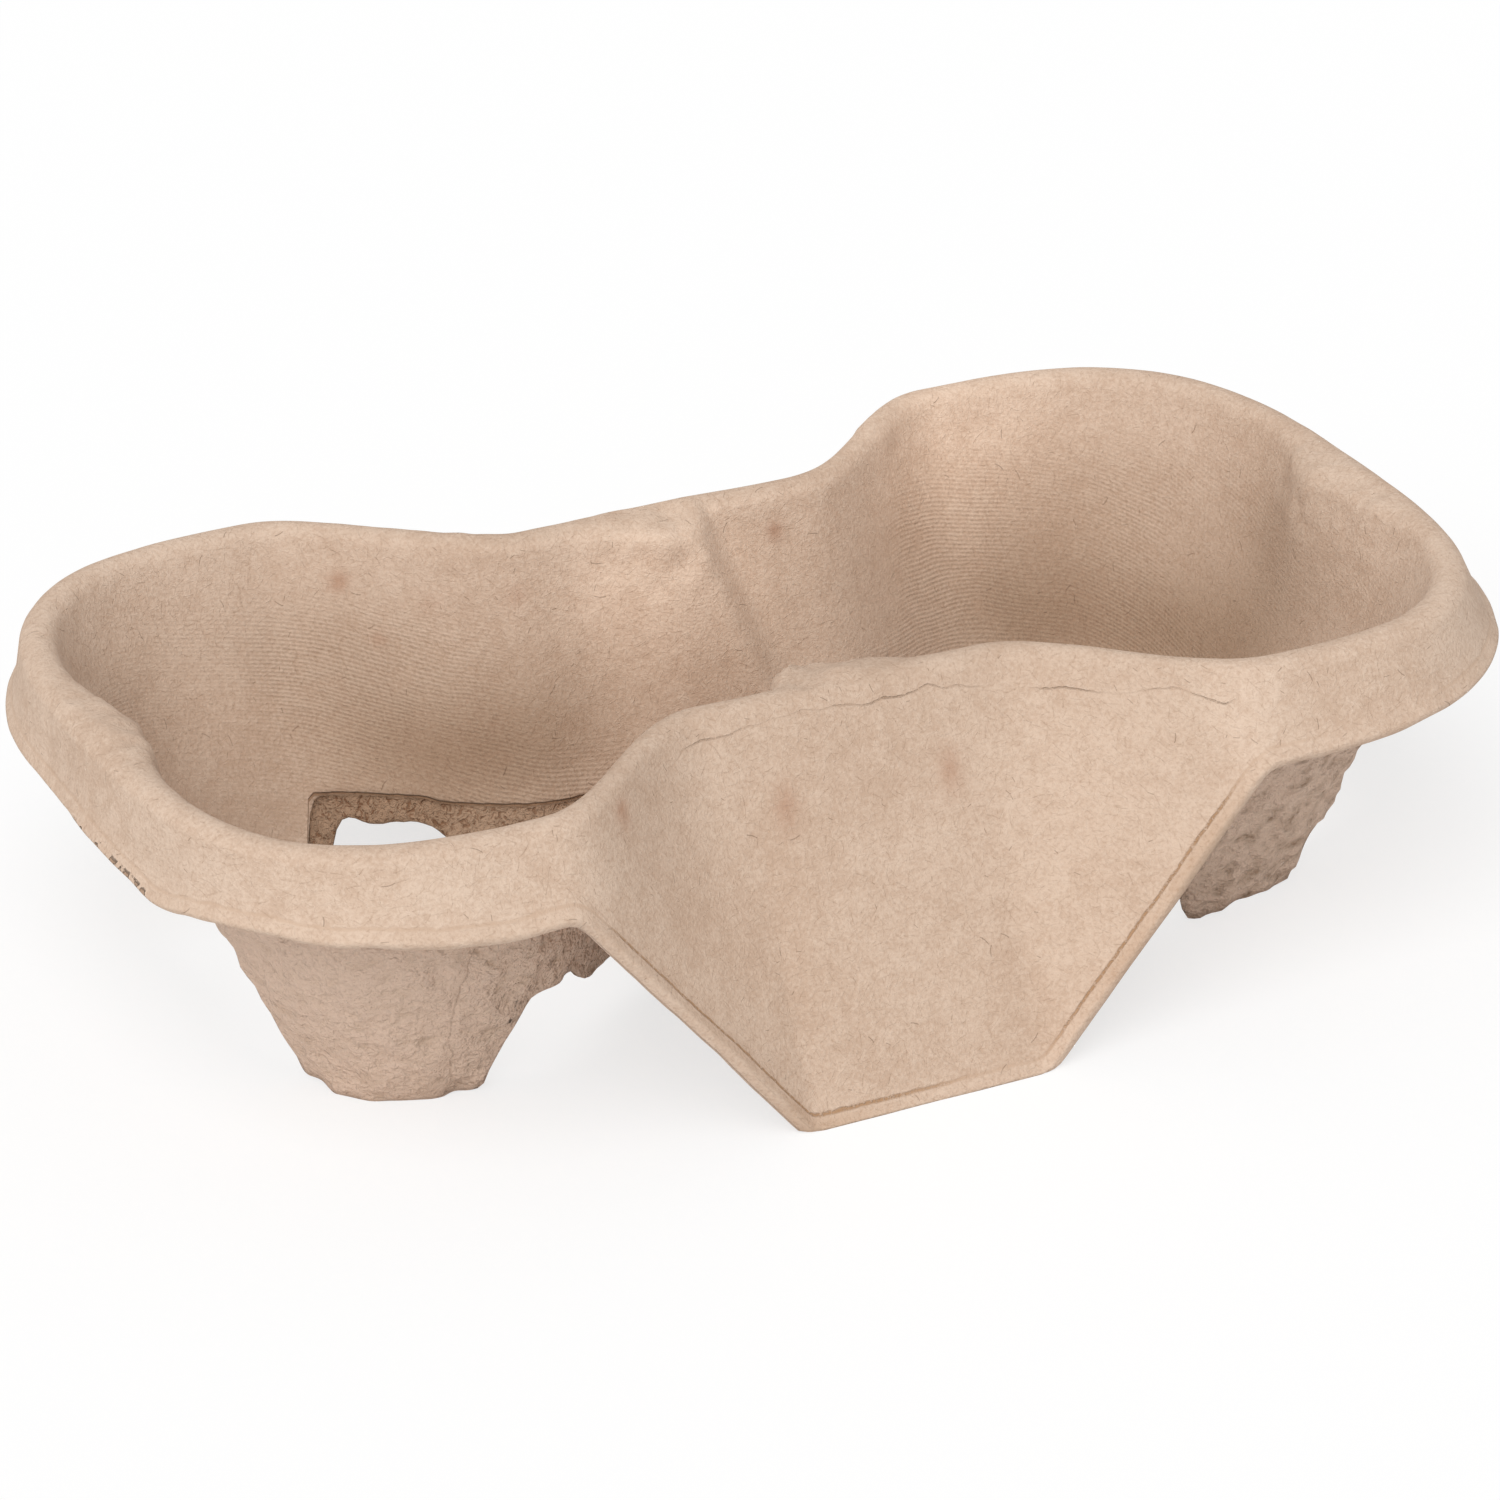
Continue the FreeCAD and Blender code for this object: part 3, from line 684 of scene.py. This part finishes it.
def pulp_grid(size):
    """The whole sheet as a grid of stations by rows that closes both ways, with its marks.

    Upper skin from the wall's torn end over the rim to the skirt's edge, round that edge, back along the
    lower skin and round the torn end. The sheet sags a little between its lumps, and no point
    goes below the table, so that the feet and panels stand flat.
    """
    ring = ring_outlines(size)
    # The level skirt stands closer to the wall round the left end.
    ring[2][:, 0] += bells(flat(ring[2]), SKIRT_DENTS)
    ends = torn_ends(ring, size)
    top = size.rim_height - size.rim_radius * (1.0 - math.sin(math.radians(RIM_FROM)))
    upper, upper_marks = upper_skin(ring, size, ends, top)
    lower, lower_marks = lower_skin(ring, size, ends, top)

    # The two edges between the skins, each a little rounded.
    edge_a, edge_b = upper[:, -1], lower[:, -1]
    bulge = unit(edge_a - upper[:, -3]) * 0.22
    edge_strip = np.stack([edge_a + (edge_b - edge_a) * share + bulge for share in (0.3, 0.7)], axis=1)
    end_a, end_b = lower[:, 0], upper[:, 0]
    fray = unit(end_b - upper[:, 2]) * (0.25 + np.abs(layered(flat(ring[1]), TORN_FRAY)))[:, None]
    end_strip = (0.5 * (end_a + end_b) + fray)[:, None]
    edge_marks = {"lower_skin": 0.35, "edge_gap": 0.0, "panel": panel_share(ring, size), "slit": upper_marks["slit"]}
    end_marks = {"lower_skin": 0.7, "torn": ends[2][:, None], "line_gap": -3.0, "leg_rough": 0.3}

    back = {name: np.broadcast_to(mark, lower.shape[:2])[:, ::-1] for name, mark in lower_marks.items()}
    stretches = ((upper, upper_marks), (edge_strip, edge_marks), (lower[:, ::-1], back), (end_strip, end_marks))
    points = np.concatenate([part for part, _ in stretches], axis=1)
    attributes = {
        name: np.hstack([np.broadcast_to(marks.get(name, plain), part.shape[:2]) for part, marks in stretches])
        for name, plain in MARKS.items()
    }
    points[..., 2] += layered(points * (1.0, 1.0, 0.0), SHEET_SAG) * points[..., 2] / size.rim_height
    attributes["cloud"] = 0.5 + layered(points, CLOUDS)
    # Painted light: a share by which places that are lit more are made paler.
    attributes["pale"] = bells(points, PAINTED_LIGHT_PLACES)
    points[..., 0] += centring(size)
    points[..., 2] = np.maximum(points[..., 2], 0.0)
    return points, attributes, TORN_ROWS + WALL_ROWS - 1 + (RIM_ROWS - 1) // 2


def sheet_coordinates(points, crest_row):
    """Lengths in millimetres along the crest and across the sheet from the crest, on the closed grid."""
    ring = np.vstack([points, points[:1]])
    ring = np.concatenate([ring, ring[:, :1]], axis=1)
    along = np.linalg.norm(np.diff(ring[:, crest_row], axis=0), axis=1)
    along = np.concatenate([[0.0], np.cumsum(along)])
    across = np.linalg.norm(np.diff(ring, axis=1), axis=2)
    across = np.hstack([np.zeros((len(ring), 1)), np.cumsum(across, axis=1)])
    across -= across[:, crest_row:crest_row + 1]
    return np.broadcast_to(along[:, None], across.shape), across


def solid_mesh(name, points, quads, caps, uv, attributes):
    """A smooth closed mesh in metres, its faces outward, with its marks and its corners' coordinates.

    The quads are an array and the caps are lists of corners, whose coordinates are X and Y.
    """
    flat_points = points.reshape(-1, 3)
    a, b, c, d = (flat_points[quads[:, k]] - flat_points.mean(axis=0) for k in range(4))
    if np.einsum("ij,ij->", a, np.cross(b, c) + np.cross(c, d)) < 0.0:
        quads, uv, caps = quads[:, ::-1], uv[:, ::-1], [cap[::-1] for cap in caps]
    mesh = bpy.data.meshes.new(name)
    mesh.from_pydata((flat_points * METRES).tolist(), [], quads.tolist() + caps)
    corners = np.vstack([uv.reshape(-1, 2)] + [flat_points[cap, :2] for cap in caps])
    mesh.uv_layers.new(name="sheet_mm").data.foreach_set("uv", corners.astype(np.float32).ravel())
    for label, values in attributes.items():
        item = mesh.attributes.new(label, "FLOAT", "POINT")
        item.data.foreach_set("value", np.ascontiguousarray(values, dtype=np.float32).ravel())
    mesh.shade_smooth()
    return mesh


def sheet_mesh(name, points, attributes, crest_row):
    """The mesh of a grid that closes on itself both ways."""
    count, rows = points.shape[:2]
    i, j = np.meshgrid(np.arange(count), np.arange(rows), indexing="ij")
    corners_i = np.stack([i, i + 1, i + 1, i], axis=-1).reshape(-1, 4)
    corners_j = np.stack([j, j, j + 1, j + 1], axis=-1).reshape(-1, 4)
    along, across = sheet_coordinates(points, crest_row)
    uv = np.stack([along[corners_i, corners_j], across[corners_i, corners_j]], axis=-1)
    return solid_mesh(name, points, (corners_i % count) * rows + corners_j % rows, [], uv, attributes)


def added(data):
    """A new object in the scene, named as its data."""
    item = bpy.data.objects.new(data.name, data)
    bpy.context.scene.collection.objects.link(item)
    return item


def place(mesh, material):
    """A finished mesh as a piece of the tray, standing for its solid."""
    mesh.materials.append(material)
    piece = added(mesh)
    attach(piece, "root")
    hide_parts("pulp_tray")


def trough_grid(size):
    """The trough's floor as a slab with torn ends, a closed loop along X carried across Y.

    The loop runs along the top, round one torn end, back underneath and round the other. Its
    sides lie in the middle of the pocket walls.
    """
    crest, foot, _ = ring_outlines(size)
    side = (crest[:, 1] > 0.0) & (np.abs(crest[:, 0]) <= size.trough_floor_half + 4.0)
    order = np.argsort(crest[side, 0])
    wall = (foot[side] + (crest - foot)[side] * size.trough_height / size.rim_height)[order]

    def half_width(x):
        """Middle line to the middle of the wall, on the +Y side."""
        return np.interp(x, wall[:, 0], wall[:, 1])[:, None] - 0.3

    x = np.linspace(-size.trough_floor_half, size.trough_floor_half, TROUGH_STATIONS)
    top = np.column_stack([x, np.full_like(x, size.sheet)])
    round_end = np.array(((0.45, 0.75), (0.585, 0.5), (0.45, 0.25))) * size.sheet + (x[-1], 0.0)
    bottom = np.column_stack([x[::-1], np.zeros_like(x)])
    loop = np.vstack([top, round_end, bottom, round_end[::-1] * (-1.0, 1.0)])
    along = loop[:, :1]
    across = np.linspace(-1.0, 1.0, TROUGH_ROWS)
    points = np.empty((len(loop), TROUGH_ROWS, 3))
    points[..., 0] = along
    # The tray repeats after half a turn, so the far side's half width is read from the other end.
    points[..., 1] = across * np.where(across > 0.0, half_width(loop[:, 0]), half_width(-loop[:, 0]))
    points[..., 2] = size.trough_height + loop[:, 1:]
    torn_end = smooth((np.abs(along) - 12.0) / 10.0) * np.sign(along)
    points[..., 0] += layered(points * (0.0, 1.0, 0.0), FLOOR_TEARS) * torn_end
    points[..., 2] += layered(points, FLOOR_WAVES)
    points[..., 0] += centring(size)
    return points


def slab_mesh(name, points):
    """The mesh of a loop carried across, its two open sides closed by one face each."""
    count, rows = points.shape[:2]
    i, j = (part.ravel() for part in np.meshgrid(np.arange(count), np.arange(rows - 1), indexing="ij"))
    ahead = (i + 1) % count
    quads = np.column_stack([i * rows + j, ahead * rows + j, ahead * rows + j + 1, i * rows + j + 1])
    side = np.arange(count) * rows
    caps = [side[::-1].tolist(), (side + rows - 1).tolist()]
    marks = {label: np.full(points.shape[:2], value) for label, value in {**MARKS, **FLOOR_MARKS}.items()}
    return solid_mesh(name, points, quads, caps, points.reshape(-1, 3)[quads][..., :2], marks)


# The finish.

class Recipe:
    """Adds nodes to a material or world and links them, so that a finish reads from top to bottom."""

    def __init__(self, owner):
        owner.use_nodes = True
        self.tree = owner.node_tree
        self.tree.nodes.clear()

    def node(self, kind, inputs=None, **settings):
        """One node with its settings, and its inputs by name or number as links or values."""
        item = self.tree.nodes.new(kind)
        for key, value in settings.items():
            setattr(item, key, value)
        for key, value in (inputs or {}).items():
            if isinstance(value, bpy.types.NodeSocket):
                self.tree.links.new(value, item.inputs[key])
            else:
                item.inputs[key].default_value = value
        return item

    def sum(self, kind, *parts):
        """A sum, product or other piece of arithmetic on up to three numbers."""
        return self.node("ShaderNodeMath", dict(enumerate(parts)), operation=kind).outputs[0]

    def total(self, *parts):
        """All the parts added up."""
        whole = parts[0]
        for part in parts[1:]:
            whole = self.sum("ADD", whole, part)
        return whole

    def times(self, *parts):
        """All the parts multiplied."""
        whole = parts[0]
        for part in parts[1:]:
            whole = self.sum("MULTIPLY", whole, part)
        return whole

    def step(self, value, low, high):
        """A smooth step from 0 at low to 1 at high; low may be the greater of the two."""
        item = self.node("ShaderNodeMapRange", {"Value": value, "From Min": low, "From Max": high},
                         interpolation_type="SMOOTHSTEP")
        return item.outputs["Result"]

    def noise(self, vector, pitch, detail=2.0, roughness=0.5, distortion=0.0):
        """Cloudy noise of a pitch in the vector's units, about 0.5 on average."""
        item = self.node("ShaderNodeTexNoise", {
            "Vector": vector, "Scale": 1.0 / pitch, "Detail": detail,
            "Roughness": roughness, "Distortion": distortion,
        })
        return item.outputs["Fac"]

    def mark(self, name):
        """A number kept on the mesh."""
        return self.node("ShaderNodeAttribute", attribute_name=name).outputs["Fac"]

    def blend(self, share, a, b, kind="MIX"):
        """Colour a turned into colour b by a share."""
        return self.node("ShaderNodeMix", {0: share, 6: a, 7: b}, data_type="RGBA", blend_type=kind).outputs[2]

    def tint(self, share, a, b):
        """Colour a multiplied by colour b, by a share."""
        return self.blend(share, a, four(b), "MULTIPLY")

    def seen(self):
        """1 where the camera, a reflection or glass looks, and 0 for the light that falls on things."""
        path = self.node("ShaderNodeLightPath").outputs
        seen = self.sum("MAXIMUM", path["Is Camera Ray"], path["Is Glossy Ray"])
        return self.sum("MAXIMUM", seen, path["Is Transmission Ray"])

    def fibres(self, vector, pitch, long, wide, shift, curl=0.25):
        """Short bent hairs, one to a random cell: how much of a hair is here, and its own random number.

        Each cell turns its coordinates by a random angle; the hair is where the turned y, less a
        parabola in x, is within the width and x is within the length.
        """
        moved = self.node("ShaderNodeVectorMath", {0: vector, 1: shift}, operation="ADD").outputs[0]
        cells = self.node("ShaderNodeTexVoronoi", {"Vector": moved, "Scale": 1.0 / pitch}, voronoi_dimensions="2D")
        away = self.node("ShaderNodeVectorMath", {0: moved, 1: cells.outputs["Position"]}, operation="SUBTRACT")
        chance = self.node("ShaderNodeSeparateColor", {0: cells.outputs["Color"]})
        angle = self.sum("MULTIPLY", chance.outputs[0], 2.0 * math.pi)
        turned = self.node("ShaderNodeVectorRotate", {"Vector": away.outputs[0], "Angle": angle},
                           rotation_type="Z_AXIS")
        part = self.node("ShaderNodeSeparateXYZ", {0: turned.outputs[0]})
        bend = self.times(self.sum("SUBTRACT", chance.outputs[1], 0.5), curl, part.outputs[0], part.outputs[0])
        off = self.sum("ABSOLUTE", self.sum("ADD", part.outputs[1], bend))
        body = self.step(off, wide, 0.4 * wide)
        ends = self.step(self.sum("ABSOLUTE", part.outputs[0]), 0.5 * long, 0.35 * long)
        return self.times(body, ends), chance.outputs[1]


def four(values):
    """A colour with full cover added."""
    return tuple(values) + (1.0,)


def moulded_pulp(finish):
    """Moulded paper pulp: mottled tan, matt, full of short fibres, with the screen's ribs inside.

    Marks on the mesh turn it rough on the outer side, paint shade deep in the pockets, on the trough,
    the panels, the lower skin towards the +X end and the legs' hollows, paint light onto places that
    are lit more, turn it brown and torn round the windows, and draw the lines along the window, the
    skirt's edge and the cracks.
    """
    material = bpy.data.materials.new("moulded_pulp")
    r = Recipe(material)
    where = r.node("ShaderNodeTexCoord").outputs["Object"]
    mm = r.node("ShaderNodeVectorMath", {0: where, "Scale": 1.0 / METRES}, operation="SCALE").outputs[0]
    uv = r.node("ShaderNodeUVMap", uv_map="sheet_mm").outputs[0]
    lower, torn, leg = r.mark("lower_skin"), r.mark("torn"), r.mark("leg_rough")

    # Mottling: clouds kept on the mesh, then patches and grain.
    patches = r.noise(mm, 2.8, 3.0, 0.62)
    grain = r.noise(mm, 0.55, 2.0, 0.7)
    shade = r.total(r.times(r.mark("cloud"), 0.3), r.times(patches, 0.6), r.times(grain, 0.9))
    colour = r.blend(r.step(shade, 0.60, 1.20), four(finish.tan), four(finish.pale))
    # Painted light: paler where more light falls.
    colour = r.tint(r.mark("pale"), colour, PAINTED_LIGHT_TINT)

    # Fibres: fine ones everywhere, and longer ones of which a few are dark hairs.
    fine, fine_tone = r.fibres(uv, 0.8, 1.1, 0.075, (3.0, 5.0, 0.0))
    long, long_tone = r.fibres(uv, 1.7, 2.2, 0.09, (11.0, 2.0, 0.0), curl=0.35)
    for body, tone, gain in ((fine, fine_tone, 0.6), (long, long_tone, 0.55)):
        colour = r.tint(r.times(body, r.step(tone, 0.5, 0.9), gain), colour, DARK_HAIR_TINT)
        colour = r.tint(r.times(body, r.step(tone, 0.5, 0.1), gain), colour, LIGHT_HAIR_TINT)
    hair = r.times(long, r.sum("GREATER_THAN", long_tone, 0.985))
    speck = r.times(fine, r.sum("GREATER_THAN", fine_tone, 0.992))
    colour = r.blend(r.times(r.total(hair, speck), 0.42), colour, four(finish.fleck))

    # Ribs that the wire screen leaves inside the pockets, nearly level, crossed by weaker ones.
    part = r.node("ShaderNodeSeparateXYZ", {0: uv})
    bend = r.times(r.mark("cloud"), 2.4)
    turn = 2.0 * math.pi / (finish.rib_pitch / METRES)
    rib = r.sum("SINE", r.times(r.total(part.outputs[1], r.times(part.outputs[0], 0.2), bend), turn))
    cross = r.sum("SINE", r.times(r.total(part.outputs[0], r.times(part.outputs[1], 0.2)), 0.8 * turn))
    rib = r.total(r.times(rib, 0.75), r.times(cross, 0.3))
    rib_gain = r.times(r.mark("screen_print"), r.step(patches, 0.15, 0.5))
    colour = r.tint(r.times(r.step(rib, 0.2, -0.7), rib_gain, 0.55), colour, RIB_TINT)

    # Painted shade in the pockets, on the trough, the panels and the lower skin, blotches, and the outer side.
    # Painted shade, darkening the colour by the mark and the patches.
    shade_share = r.times(r.mark("painted_shade"), r.sum("MULTIPLY_ADD", r.step(patches, 0.2, 0.75), 0.15, 0.82))
    colour = r.tint(shade_share, colour, PAINTED_SHADE_TINT)
    colour = r.blend(r.times(r.mark("stain"), r.step(patches, 0.15, 0.5)), colour, four(finish.blotch))
    outer = r.step(lower, 0.55, 1.0)
    colour = r.blend(r.times(outer, r.step(patches, 0.15, 0.6)), colour, four(finish.rough))
    # Painted shade in the hollows of the rough legs, where the patches are low.
    hollow_shade = r.times(r.step(leg, 0.7, 1.0), r.step(patches, 0.38, 0.24))
    colour = r.tint(r.times(hollow_shade, leg, 0.6), colour, HOLLOW_SHADE_TINT)

    # Torn band round the windows.
    fray = r.noise(mm, 1.0, 2.0, 0.7, 1.2)
    colour = r.blend(r.times(torn, 0.9), colour, four(finish.torn))
    colour = r.tint(r.times(torn, r.step(fray, 0.5, 0.36)), colour, FRAY_TINT)

    # Lines: over the torn band, the cracks, and along the skirt's edge with its damp streaks.
    jitter = r.times(r.sum("SUBTRACT", patches, 0.5), 0.7)
    groove = r.step(r.sum("ABSOLUTE", r.sum("ADD", r.mark("line_gap"), r.times(jitter, 0.5))), 0.36, 0.1)
    colour = r.blend(r.times(groove, 0.75), colour, four(finish.streak))
    crack = r.step(r.sum("ABSOLUTE", r.sum("ADD", r.mark("crack_gap"), jitter)), 0.18, 0.02)
    crack = r.times(crack, r.mark("crack_gain"), r.step(grain, 0.3, 0.55))
    colour = r.blend(r.times(crack, 0.5), colour, four(finish.streak))
    gap = r.sum("ADD", r.mark("edge_gap"), jitter)
    seam = r.step(r.sum("ABSOLUTE", r.sum("SUBTRACT", gap, 1.9)), 0.38, 0.08)
    seam = r.times(seam, r.mark("panel"), r.step(r.mark("cloud"), 0.2, 0.55), r.step(grain, 0.3, 0.55))
    strip = r.times(r.step(gap, 2.0, 1.5), r.mark("panel"), r.step(grain, 0.2, 0.6))
    colour = r.blend(r.times(strip, 0.4), colour, four(finish.pale))
    colour = r.blend(r.times(seam, 0.8), colour, four(finish.damp))
    damp = r.times(r.step(gap, 2.4, 0.8), r.mark("panel"), r.step(r.mark("cloud"), 0.42, 0.75))
    colour = r.blend(r.times(damp, 0.28), colour, four(finish.damp))
    slit = r.times(r.step(r.mark("slit"), 0.3, 0.7), r.step(gap, 0.9, 0.4), r.step(patches, 0.53, 0.58))
    colour = r.blend(r.times(slit, 0.6), colour, four(finish.streak))

    # Heights in millimetres, all in one bump.
    height = r.total(
        r.times(patches, 0.2), r.times(grain, 0.17), r.times(fine, 0.02), r.times(long, 0.03),
        r.times(rib, rib_gain, 0.045), r.times(outer, patches, 0.6), r.times(leg, patches, 2.0),
        r.times(torn, fray, 0.9), r.times(groove, -0.35), r.times(seam, -0.2),
        r.times(crack, -0.25), r.times(slit, -0.7),
    )
    bump = r.node("ShaderNodeBump", {"Height": height, "Distance": METRES, "Strength": 1.0})
    surface = r.node("ShaderNodeBsdfPrincipled", {
        "Base Color": colour, "Roughness": 0.93, "Specular IOR Level": 0.18, "Normal": bump.outputs[0],
    })
    r.node("ShaderNodeOutputMaterial", {"Surface": surface.outputs[0]})
    return material


# The studio.

def studio_floor(studio):
    """A white floor: a round sheet whose radius grows over its rings, lit, and brighter to the camera."""
    turn = np.linspace(0.0, 2.0 * np.pi, FLOOR_SPOKES, endpoint=False)
    radius = np.linspace(FLOOR_HUB, 1.0, FLOOR_RINGS)[:, None] ** 2 * studio.floor_reach
    points = np.stack([radius * np.cos(turn), radius * np.sin(turn), 0.0 * radius * turn], axis=-1)
    i, j = (part.ravel() for part in np.meshgrid(np.arange(FLOOR_RINGS - 1), np.arange(FLOOR_SPOKES), indexing="ij"))
    ring, ahead = i * FLOOR_SPOKES, (j + 1) % FLOOR_SPOKES
    quads = np.column_stack([ring + j, ring + FLOOR_SPOKES + j, ring + FLOOR_SPOKES + ahead, ring + ahead])
    mesh = bpy.data.meshes.new("studio_floor")
    mesh.from_pydata(points.reshape(-1, 3).tolist(), [], quads.tolist() + [list(range(FLOOR_SPOKES))])

    material = bpy.data.materials.new("studio_white")
    r = Recipe(material)
    lit = r.node("ShaderNodeBsdfDiffuse", {"Color": four(studio.floor_colour), "Roughness": 0.0})
    glow = r.node("ShaderNodeEmission", {"Color": WHITE, "Strength": FLOOR_GLOW})
    share = r.sum("MULTIPLY", r.seen(), FLOOR_GLOW_SHARE)
    mixed = r.node("ShaderNodeMixShader", {0: share, 1: lit.outputs[0], 2: glow.outputs[0]})
    r.node("ShaderNodeOutputMaterial", {"Surface": mixed.outputs[0]})
    mesh.materials.append(material)
    added(mesh)


def studio_sky(studio):
    """Even white light all round, full white where it is seen."""
    world = bpy.data.worlds.new("studio_sky")
    bpy.context.scene.world = world
    r = Recipe(world)
    fill = r.node("ShaderNodeBackground", {"Color": WHITE, "Strength": studio.sky_strength})
    white = r.node("ShaderNodeBackground", {"Color": WHITE, "Strength": 1.0})
    mixed = r.node("ShaderNodeMixShader", {0: r.seen(), 1: fill.outputs[0], 2: white.outputs[0]})
    r.node("ShaderNodeOutputWorld", {"Surface": mixed.outputs[0]})


def key_light(studio):
    """A wide soft lamp from the upper left, in front."""
    lamp = bpy.data.lights.new("key_light", "SUN")
    lamp.energy = studio.key_strength
    lamp.angle = math.radians(KEY_WIDTH)
    added(lamp).rotation_euler = Vector(KEY_FROM).to_track_quat("Z", "Y").to_euler()


def photo_camera(studio):
    """The camera at the photograph's angle: it looks down along its direction, rolled a little."""
    turn, tip, roll = CAMERA_ANGLES
    target = Vector(CAMERA_TARGET) * METRES
    ahead = Vector((math.sin(turn) * math.cos(tip), math.cos(turn) * math.cos(tip), -math.sin(tip)))
    right = ahead.cross(Vector((0.0, 0.0, 1.0))).normalized()
    up = right.cross(ahead)
    side = math.cos(roll) * right + math.sin(roll) * up
    top = -math.sin(roll) * right + math.cos(roll) * up
    data = bpy.data.cameras.new("photo_camera")
    data.lens = studio.lens
    data.sensor_width = 36.0
    data.sensor_fit = "HORIZONTAL"
    data.clip_start = 0.01
    data.clip_end = 50.0
    axes = Matrix((side, top, -ahead)).transposed().to_4x4()
    camera = added(data)
    camera.matrix_world = Matrix.Translation(target - ahead * studio.camera_distance) @ axes
    bpy.context.scene.camera = camera


# Operators, panel and registration.

def pulp_material():
    """The tray's one finish, made on first use."""
    return bpy.data.materials.get("moulded_pulp") or moulded_pulp(bpy.context.scene.pulp_finish)


class CARRIER_OT_pulp_sheet(bpy.types.Operator):
    """Build the moulded sheet: skirt, panels, rim, pocket walls and legs"""

    bl_idname = "carrier.pulp_sheet"
    bl_label = "Pulp sheet"

    def execute(self, context):
        points, attributes, crest_row = pulp_grid(in_millimetres(context.scene.tray_sizes))
        place(sheet_mesh("pulp_sheet", points, attributes, crest_row), pulp_material())
        return {"FINISHED"}


class CARRIER_OT_trough_floor(bpy.types.Operator):
    """Build the torn-ended floor of the trough between the pockets"""

    bl_idname = "carrier.trough_floor"
    bl_label = "Trough floor"

    def execute(self, context):
        points = trough_grid(in_millimetres(context.scene.tray_sizes))
        place(slab_mesh("trough_floor", points), pulp_material())
        return {"FINISHED"}


class CARRIER_OT_studio(bpy.types.Operator):
    """Set the floor, the light and the camera"""

    bl_idname = "carrier.studio"
    bl_label = "Studio"

    def execute(self, context):
        studio = context.scene.carrier_studio
        studio_floor(studio)
        studio_sky(studio)
        key_light(studio)
        photo_camera(studio)
        context.scene.view_settings.view_transform = "Standard"
        return {"FINISHED"}


class CARRIER_PT_panel(bpy.types.Panel):
    """Builds the tray and holds its sizes and colours"""

    bl_idname = "CARRIER_PT_panel"
    bl_label = "Cup carrier"
    bl_space_type = "VIEW_3D"
    bl_region_type = "UI"
    bl_category = "Cup carrier"

    def draw(self, context):
        for operator in (CARRIER_OT_pulp_sheet, CARRIER_OT_trough_floor, CARRIER_OT_studio):
            self.layout.operator(operator.bl_idname)
        for group in (context.scene.tray_sizes, context.scene.pulp_finish, context.scene.carrier_studio):
            box = self.layout.box()
            for name in group.bl_rna.properties.keys():
                if name not in ("rna_type", "name"):
                    box.prop(group, name)


CLASSES = (
    TraySizes, PulpFinish, Studio,
    CARRIER_OT_pulp_sheet, CARRIER_OT_trough_floor, CARRIER_OT_studio, CARRIER_PT_panel,
)


def register():
    for item in CLASSES:
        bpy.utils.register_class(item)
    bpy.types.Scene.tray_sizes = PointerProperty(type=TraySizes)
    bpy.types.Scene.pulp_finish = PointerProperty(type=PulpFinish)
    bpy.types.Scene.carrier_studio = PointerProperty(type=Studio)


def unregister():
    del bpy.types.Scene.carrier_studio
    del bpy.types.Scene.pulp_finish
    del bpy.types.Scene.tray_sizes
    for item in reversed(CLASSES):
        bpy.utils.unregister_class(item)


def main():
    """Build every piece and the stage."""
    register()
    bpy.ops.carrier.pulp_sheet()
    bpy.ops.carrier.trough_floor()
    bpy.ops.carrier.studio()


if __name__ == "__main__":
    main()
